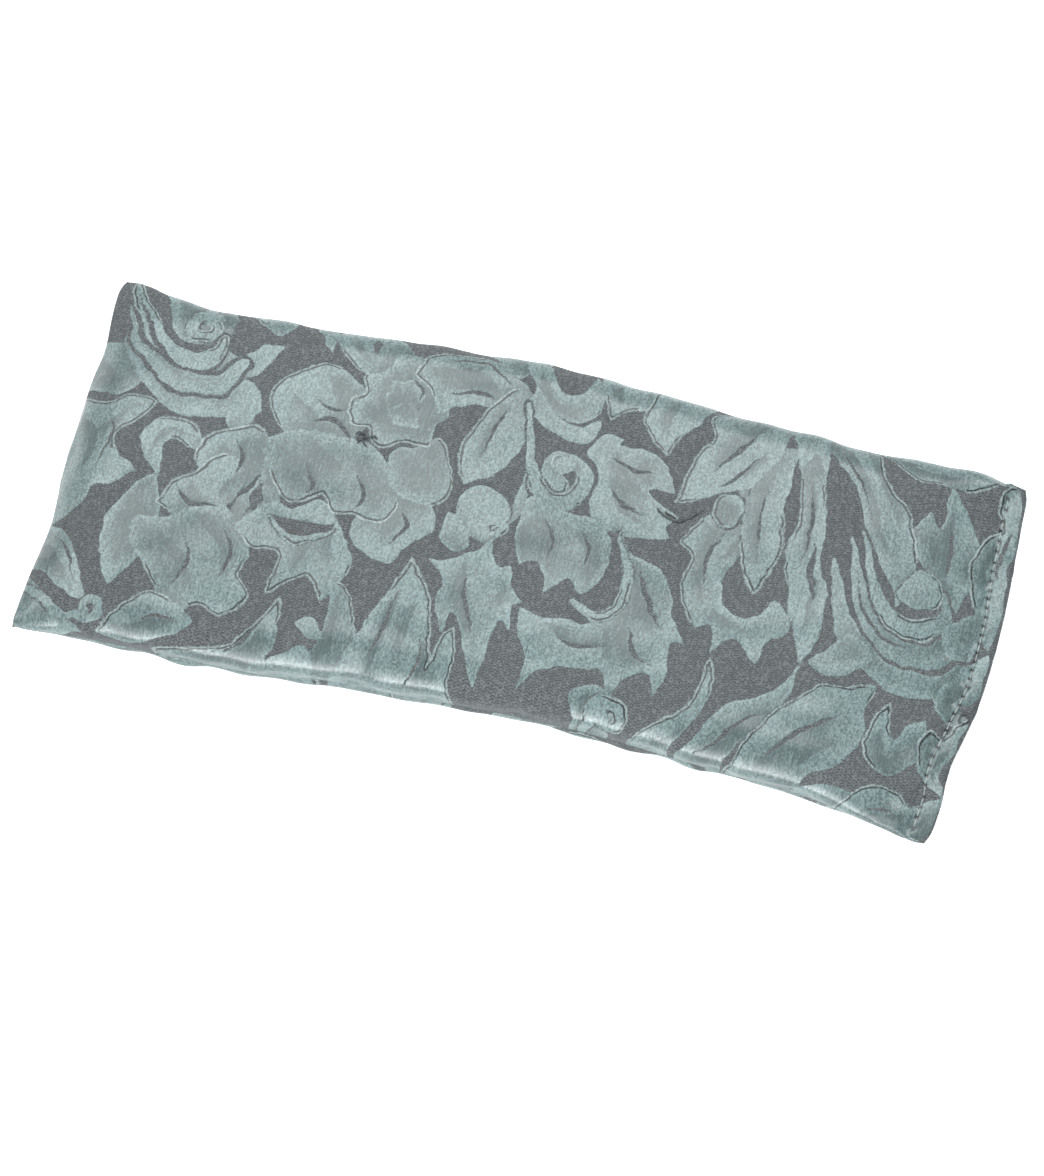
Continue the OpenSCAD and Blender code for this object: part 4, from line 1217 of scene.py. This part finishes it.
def grains(name, scale, low, high, rough):
    g = Graph(name)
    place = g.object_place()
    stretched = g.stretch(place, (1.0, 1.6, 1.3))
    cells = g.make("ShaderNodeTexVoronoi", {"Vector": stretched, "Scale": scale})
    shade = g.node("ShaderNodeSeparateColor", [cells.outputs["Color"]])
    blotch = g.noise(place, scale=scale * 3.0, detail=3.0)
    colour = g.mix(shade, low, high)
    colour = g.mix(g.span(blotch, over=(0.4, 0.7), to=(0.0, 0.3)), colour,
                   tuple(0.5 * part for part in low))
    height = g.less(1.0, cells.outputs["Distance"])
    return g.finish(Base_Color=colour, Roughness=rough, Specular_IOR_Level=0.45,
                    Normal=g.bump(height, distance=0.0006, strength=0.9))


# ---- the cover ----
relaxed = lay_out(relax_bag())
front = pucker(stand_sides(refine(relaxed[0])), up=True, seed=31)
back = pucker(refine(relaxed[1]), up=False, seed=61)
# both sheets keep one edge between them
rim = np.zeros(GRID_X.shape, bool)
rim[0], rim[-1], rim[:, 0], rim[:, -1] = True, True, True, True
front[rim] = back[rim] = (front[rim] + back[rim]) / 2
back[..., 2] = np.maximum(back[..., 2], 0.02)

# the closing topstitch: needle holes a stitch apart along the hem; the field both sinks the cloth
# there and carries painted shade into the holes
STITCH_PITCH = 2.55
HOLE_RADIUS = 0.62
GROOVE_WIDTH = 0.75
rng = np.random.default_rng(12)
hole_y = np.arange(-HALF_Y + 3.2, HALF_Y - 2.6, STITCH_PITCH)
hole_y = hole_y + rng.normal(0, 0.12, len(hole_y))
hole_x = (STITCH_X + 0.35 * lumps(hole_y, hole_y * 0, seed=77, count=4, waves=(20, 60))
          + rng.normal(0, 0.07, len(hole_y)))
holes = np.zeros(GRID_X.shape)
for x, y in zip(hole_x, hole_y):
    close = (abs(GRID_X - x) < 3) & (abs(GRID_Y - y) < 3)
    dip = np.exp(-((GRID_X[close] - x) ** 2 + (GRID_Y[close] - y) ** 2) / HOLE_RADIUS ** 2)
    holes[close] = np.maximum(holes[close], dip)
stitch_line = np.interp(GRID_Y[:, 0], hole_y, hole_x)[:, None]
groove = np.exp(-((GRID_X - stitch_line) / GROOVE_WIDTH) ** 2) * (abs(GRID_Y) < HALF_Y - 2.0)


def pattern_y(sheet):
    """The pattern lies as seen from above on the top and carries on down the sides."""
    z = sheet[..., 2]
    near_crest, far_crest = z[:FINE_ROWS // 2].max(0), z[FINE_ROWS // 2:].max(0)
    near_fall = np.maximum(near_crest - z, 0) * (1 - ramp(GRID_Y + HALF_Y - 4.0, 6.0))
    far_fall = np.maximum(far_crest - z, 0) * (1 - ramp(HALF_Y - GRID_Y - 4.0, 6.0))
    return sheet[..., 1] - 0.55 * near_fall + 0.55 * far_fall


front_weave = Weave(front[..., 0], pattern_y(front), 3)
draw_design(front_weave)
back_weave = Weave(GRID_X, GRID_Y, 4)
back_weave.turn_half_round()
draw_design(back_weave)


def relief(sheet, up, weave):
    """Raises the satin and sinks the stitching; returns the sheet and its normals before."""
    normal = normals(sheet, up)
    edge = np.minimum(np.minimum(GRID_Y + HALF_Y, HALF_Y - GRID_Y),
                      np.minimum(GRID_X + HALF_X, HALF_X - GRID_X))
    raised = 0.045 * np.clip(weave.satin / 0.5, -1, 1)
    move = (raised - 0.42 * holes - 0.26 * groove) * ramp(edge, 1.2)
    return sheet + normal * move[..., None], normal


front, front_normal = relief(front, True, front_weave)
back, back_normal = relief(back, False, back_weave)
back[..., 2] = np.maximum(back[..., 2], 0.0)


def cover_panel(name, sheet, normal, up, weave, shift_y):
    """One panel of the cover; shift_y moves it along the cloth it is cut from."""
    inner = sheet[::FINE, ::FINE] - normal[::FINE, ::FINE] * CLOTH_THICK
    thing = cloth_shell(name, sheet, inner, up, FINE)
    flat = flat_places(GRID_X, GRID_Y + shift_y)
    put_flat(thing.data, flat, flat[::FINE, ::FINE])
    count = inner.shape[0] * inner.shape[1]
    # attribute, values of the outer face, value of the whole inner face
    # hole carries the painted shade of the needle holes
    for key, values, inside in (("sat", weave.satin, -2.0), ("tone", weave.tone, 0.0),
                                ("cordd", weave.cord_distance, 9.0),
                                ("cordk", weave.cord_strength, 0.0), ("hole", holes, 0.0)):
        put_floats(thing.data, key, np.concatenate([values.ravel(), np.full(count, inside)]))
    return thing


cloth = jacquard("jacquard_cloth")
soft(cover_panel("cover_front", front, front_normal, True, front_weave, shift_y=0.0),
     cloth, "front_panel")
soft(cover_panel("cover_back", back, back_normal, False, back_weave, shift_y=200.0),
     cloth, "back_panel")

# ---- the cover's threads ----
celadon = thread("celadon_thread", (0.22, 0.275, 0.27), (0.36, 0.43, 0.42))


def topstitch(name, sheet, normal, proud):
    """One short strand from each needle hole to the next, sunk at both ends."""
    q = np.linspace(0.06, 0.94, 9)
    lift = proud * np.sin(np.pi * q) ** 0.55 - 0.05
    paths = []
    for i in range(len(hole_y) - 1):
        x = hole_x[i] + (hole_x[i + 1] - hole_x[i]) * q
        y = hole_y[i] + (hole_y[i + 1] - hole_y[i]) * q
        points, out = on_sheet(sheet, x, y), on_sheet(normal, x, y)
        # a strand under tension is straighter than the cloth under it
        chord = points[0] + (points[-1] - points[0]) * q[:, None]
        points = points * 0.45 + chord * 0.55 + out * 0.06
        paths.append(points + out * lift[:, None])
    return tubes(name, paths, radius=0.22, sides=8)


def three_sides(xs, ys, end_x):
    """A run along the far side, down the left end and back along the near side."""
    return np.array([(x, ys[0]) for x in xs] + [(end_x, y) for y in ys]
                    + [(x, ys[-1]) for x in xs[::-1]])


def run_length(run):
    return np.concatenate([[0], np.cumsum(np.hypot(*np.diff(run, axis=0).T))])


def seam_strand(name, side):
    """The lockstitch inside the turned edge, above (1) or below (-1) the seam."""
    inset, stitch, tuck = 1.5, 2.5, 1.15
    xs = np.linspace(STITCH_X - 1.5, -HALF_X + inset + 0.6, 260)
    ys = np.linspace(HALF_Y - inset, -HALF_Y + inset, 110)
    run = three_sides(xs, ys, -HALF_X + inset)
    points = (on_sheet(front, *run.T) + on_sheet(back, *run.T)) / 2
    inward = np.repeat([(0.0, -1.0), (1.0, 0.0), (0.0, 1.0)], [len(xs), len(ys), len(xs)], axis=0)
    points[:, :2] += tuck * inward
    lift = 0.16 * np.abs(np.sin(np.pi * run_length(run) / stitch))
    points[:, 2] += side * 0.10 + side * lift
    return tubes(name, [points], radius=0.15, sides=6)


for strand, node in (
        (topstitch("closing_topstitch", front, front_normal, 0.20), "closing_needle_thread"),
        (topstitch("closing_bobbin_stitch", back, back_normal, 0.16), "closing_bobbin_thread"),
        (seam_strand("seam_needle_strand", 1), "cover_needle_thread"),
        (seam_strand("seam_bobbin_strand", -1), "cover_bobbin_thread")):
    soft(strand, celadon, node)

# ---- the inner pouch and the seed ----
pouch_cloth = muslin("muslin_cloth")
ivory = thread("ivory_thread", (0.62, 0.58, 0.48), (0.80, 0.77, 0.68), rough=0.6)
POUCH_INSET = 8.6
POUCH_LEFT, POUCH_RIGHT = -HALF_X + POUCH_INSET, STITCH_X - 6.0
POUCH_HALF_Y = HALF_Y - POUCH_INSET


def filling(columns, rows, left, right, half_y, band, clear, rise, rim_half):
    """The top and bottom of a filling inside the cover.

    band is the flat margin round it, clear its distance from the cover, rise the width over
    which it gains its height, and rim_half half its thickness at the rim.
    """
    def swell(distance):
        s = np.clip(distance / rise, 0, 1)
        return (1 - (1 - s) ** 2.2) ** 0.8

    x, y = np.meshgrid(np.linspace(left, right, columns), np.linspace(-half_y, half_y, rows))
    above, below = on_sheet(front, x, y), on_sheet(back, x, y)
    full = (swell(x - left - band) * swell(right - band - x)
            * swell(y + half_y - band) * swell(half_y - band - y))
    top, bottom = (above + below) / 2, (above + below) / 2
    up = np.maximum(above[..., 2] - clear - SEAM_Z - rim_half, 0.2)
    down = np.maximum(SEAM_Z - rim_half - below[..., 2] - clear, 0.2)
    top[..., 2] = SEAM_Z + rim_half + up * full
    bottom[..., 2] = SEAM_Z - rim_half - down * full
    return x, y, top, bottom


def pouch_panel(name, sheet, up, flat):
    thing = cloth_shell(name, sheet, sheet - normals(sheet, up) * MUSLIN_THICK, up)
    put_flat(thing.data, flat, flat)
    return thing


def pouch_strand(name, side, closing):
    """A line of stitches above (1) or below (-1) the pouch's seam or its closing end."""
    inset, stitch = 1.2, 2.4
    if closing:
        y = np.linspace(-POUCH_HALF_Y + 3, POUCH_HALF_Y - 3, 160)
        run = np.stack([np.full_like(y, POUCH_RIGHT - inset), y], 1)
    else:
        xs = np.linspace(POUCH_RIGHT - inset - 0.8, POUCH_LEFT + inset, 200)
        ys = np.linspace(POUCH_HALF_Y - inset, -POUCH_HALF_Y + inset, 90)
        run = three_sides(xs, ys, POUCH_LEFT + inset)
    points = on_sheet((front + back) / 2, *run.T)
    wave = np.abs(np.sin(np.pi * run_length(run) / stitch)) ** 0.5
    points[:, 2] = SEAM_Z + side * (0.05 + 0.42 * wave)
    return tubes(name, [points], radius=0.13, sides=6)


x, y, top, bottom = filling(105, 45, POUCH_LEFT, POUCH_RIGHT, POUCH_HALF_Y,
                            band=2.4, clear=1.5, rise=12.0, rim_half=0.35)
soft(pouch_panel("pouch_upper", top, True, flat_places(x, y)),
     pouch_cloth, "pouch_front")
soft(pouch_panel("pouch_lower", bottom, False, flat_places(x, y)),
     pouch_cloth, "pouch_back")
for part, closing in (("pouch", False), ("pouch_closing", True)):
    for kind, side in (("needle", 1), ("bobbin", -1)):
        soft(pouch_strand(f"{part}_{kind}_strand", side, closing), ivory,
             f"{part}_{kind}_thread")


def seed_heap(name, left, right, seed):
    half_y = POUCH_HALF_Y - 4.5
    x, y, top, bottom = filling(90, 66, left, right, half_y,
                                band=0.0, clear=2.6, rise=13.0, rim_half=0.3)
    bed = 0.16 * lumps(x, y, seed, count=26, waves=(1.8, 3.6))
    inside = (x > left + 1) & (x < right - 1) & (abs(y) < half_y - 1)
    top[..., 2] += np.where(inside, bed, 0)
    return cloth_shell(name, top, bottom, up=True)


flax = grains("flax_seed_grain", scale=420.0, low=(0.085, 0.036, 0.014),
              high=(0.22, 0.105, 0.045), rough=0.38)
firm(seed_heap("seed_left", POUCH_LEFT + 4.5, -5.0, seed=5),
     flax, LEFT, "flax_seed_left")
firm(seed_heap("seed_right", 5.0, POUCH_RIGHT - 4.5, seed=6),
     flax, RIGHT, "flax_seed_right")

lavender = grains("lavender_bud", scale=1500.0, low=(0.16, 0.13, 0.24),
                  high=(0.34, 0.29, 0.42), rough=0.8)
for name in ("lavender_buds_left", "lavender_buds_right"):
    buds = frame["nodes"][name].data
    buds.materials.clear()
    buds.materials.append(lavender)

# ---- loose ends on the face ----
dark_yarn = thread("dark_yarn", (0.020, 0.023, 0.026), (0.075, 0.085, 0.088), rough=0.6)


def locate(text):
    """Flat cloth places of points given by their place seen from above."""
    out = []
    for x, y in parse(text):
        distance = (front[..., 0] - x) ** 2 + (front[..., 1] - y) ** 2
        place = np.unravel_index(distance.argmin(), distance.shape)
        out.append((GRID_X[place], GRID_Y[place]))
    return out


def loose_yarn(name, strands, radius, body, node):
    """Strands lying on the front, each a path on the cloth and its lifts above it."""
    paths = []
    for places, lifts in strands:
        path = smooth_path(places, 8)
        out = on_sheet(front_normal, *path.T)
        paths.append(on_sheet(front, *path.T) + out * spread(lifts, len(path))[:, None])
    firm(tubes(name, paths, radius, sides=7), dark_yarn, body, node)


loose_yarn("snag_left", [
    (locate("-47.3,17 -46,17.6 -44.5,17.4"), [0.10, 0.45, 0.12]),
    (locate("-46.3,14.4 -45.2,16 -43.9,17 -42.7,17.6 -41.4,17.3"), [0.10, 0.45, 0.55, 0.35, 0.10]),
    (locate("-46.7,15.5 -45.3,15.9 -44.5,15.2 -43.7,14.3"), [0.12, 0.50, 0.30, 0.10]),
], 0.20, LEFT, "thread_snag_left")
loose_yarn("snag_right", [
    (locate("29.3,16.7 30.3,15.6 32.7,14.4 35.2,14.2 38,16.3 40.3,19.2"),
     [0.12, 0.40, 0.35, 0.25, 0.15, 0.05]),
    (locate("31.2,16.1 32.4,15.4 34.2,14.8"), [0.15, 0.40, 0.12]),
], 0.19, RIGHT, "thread_snag_right")
loop = [(HALF_X - 1.9 + 1.15 * math.cos(angle), -15.6 + 1.6 * math.sin(angle))
        for angle in np.linspace(0.5, 0.5 + 2 * math.pi * 0.97, 16)]
tail = [(HALF_X - 1.4, -13.6), (HALF_X - 0.7, -12.9)]
loose_yarn("closing_loop", [(loop, [0.2, 0.45, 0.6, 0.45, 0.2]), (tail, [0.2, 0.3])],
           0.17, RIGHT, "closing_thread_loop")

# ---- floor ----
bpy.ops.mesh.primitive_plane_add(size=6.0, location=(0, 0, -0.0004))
floor = bpy.context.object
floor.name = "floor"
floor.data.materials.append(Graph("pale_floor").finish(
    Base_Color=(0.80, 0.80, 0.80), Roughness=0.95, Specular_IOR_Level=0.0,
    Emission_Color=(1.0, 1.0, 1.0), Emission_Strength=0.75))
# As the right half folds down past the edge it would rest on, the floor sinks under its hem.
sink = floor.constraints.new("TRANSFORM")
sink.target = frame["bodies"][RIGHT]
sink.map_from, sink.map_to, sink.map_to_z_from = "ROTATION", "LOCATION", "Y"
sink.from_min_y_rot, sink.from_max_y_rot = 0.0, math.radians(60.0)
sink.to_min_z, sink.to_max_z = 0.0, -0.0945
sink.mix_mode = "ADD"

# ---- light: a white world, dimmer to everything but the camera ----
SKY_GLOW = 0.42
world = bpy.data.worlds.new("studio")
bpy.context.scene.world = world
world.use_nodes = True
nodes, links = world.node_tree.nodes, world.node_tree.links
nodes["Background"].inputs[0].default_value = (1.0, 1.0, 1.0, 1.0)
light_path = nodes.new("ShaderNodeLightPath")
seen = nodes.new("ShaderNodeMath")
seen.operation = "MULTIPLY_ADD"
seen.inputs[1].default_value, seen.inputs[2].default_value = 1.0 - SKY_GLOW, SKY_GLOW
links.new(light_path.outputs["Is Camera Ray"], seen.inputs[0])
links.new(seen.outputs[0], nodes["Background"].inputs[1])


def from_origin(azimuth, elevation, distance=1.0):
    """A place round the origin; azimuth is in degrees from -Y towards +X."""
    a, e = math.radians(azimuth), math.radians(elevation)
    return Vector((distance * math.cos(e) * math.sin(a), -distance * math.cos(e) * math.cos(a),
                   distance * math.sin(e)))


def area_light(name, azimuth, elevation, distance, size, size_y, power):
    light = bpy.data.lights.new(name, "AREA")
    light.shape, light.size, light.size_y, light.energy = "RECTANGLE", size, size_y, power
    lamp = bpy.data.objects.new(name, light)
    lamp.location = from_origin(azimuth, elevation, distance)
    lamp.rotation_euler = (Vector((0, 0, 0)) - lamp.location).to_track_quat("-Z", "Y").to_euler()
    bpy.context.scene.collection.objects.link(lamp)
    return lamp


area_light("front_soft", azimuth=2, elevation=24, distance=1.2, size=0.9, size_y=0.26, power=9.5)
area_light("over_soft", azimuth=179, elevation=51, distance=1.3, size=1.1, size_y=0.9, power=15.9)
# Two panels that only give a gleam, one from the near side and one from the left.
for name, azimuth, elevation, power in (("edge_gleam", 356, 32, 17.0),
                                        ("end_gleam", 256, 46, 12.0)):
    gleam = area_light(name, azimuth, elevation, distance=1.2, size=1.0, size_y=0.75, power=power)
    gleam.visible_diffuse = False
    gleam.data.diffuse_factor = 0.0
bpy.context.scene.view_settings.view_transform = "Standard"

# ---- camera: a long lens a long way off, near enough a parallel view ----
AZIMUTH, ELEVATION = 15.0, 64.5
LENS, SENSOR = 350.0, 36.0
VIEW_SIZE = 0.2868                       # metres across the view at the bag
SHIFT_DOWN, SHIFT_LEFT = 0.0069, 0.0004  # metres from the bag's middle to the view's
lens = bpy.data.cameras.new("camera")
lens.lens, lens.sensor_width, lens.sensor_fit = LENS, SENSOR, "AUTO"
lens.clip_start, lens.clip_end = 0.1, 30.0
camera = bpy.data.objects.new("camera", lens)
bpy.context.scene.collection.objects.link(camera)
bpy.context.scene.camera = camera
a, e = math.radians(AZIMUTH), math.radians(ELEVATION)
backward = from_origin(AZIMUTH, ELEVATION)
upward = Vector((-math.sin(e) * math.sin(a), math.sin(e) * math.cos(a), math.cos(e)))
rightward = Vector((math.cos(a), math.sin(a), 0))
target = Vector((0, 0, SEAM_Z / 1000.0)) - upward * SHIFT_DOWN - rightward * SHIFT_LEFT
camera.location = target + backward * (VIEW_SIZE * LENS / SENSOR)
camera.rotation_euler = backward.to_track_quat("Z", "Y").to_euler()

bpy.context.view_layer.update()
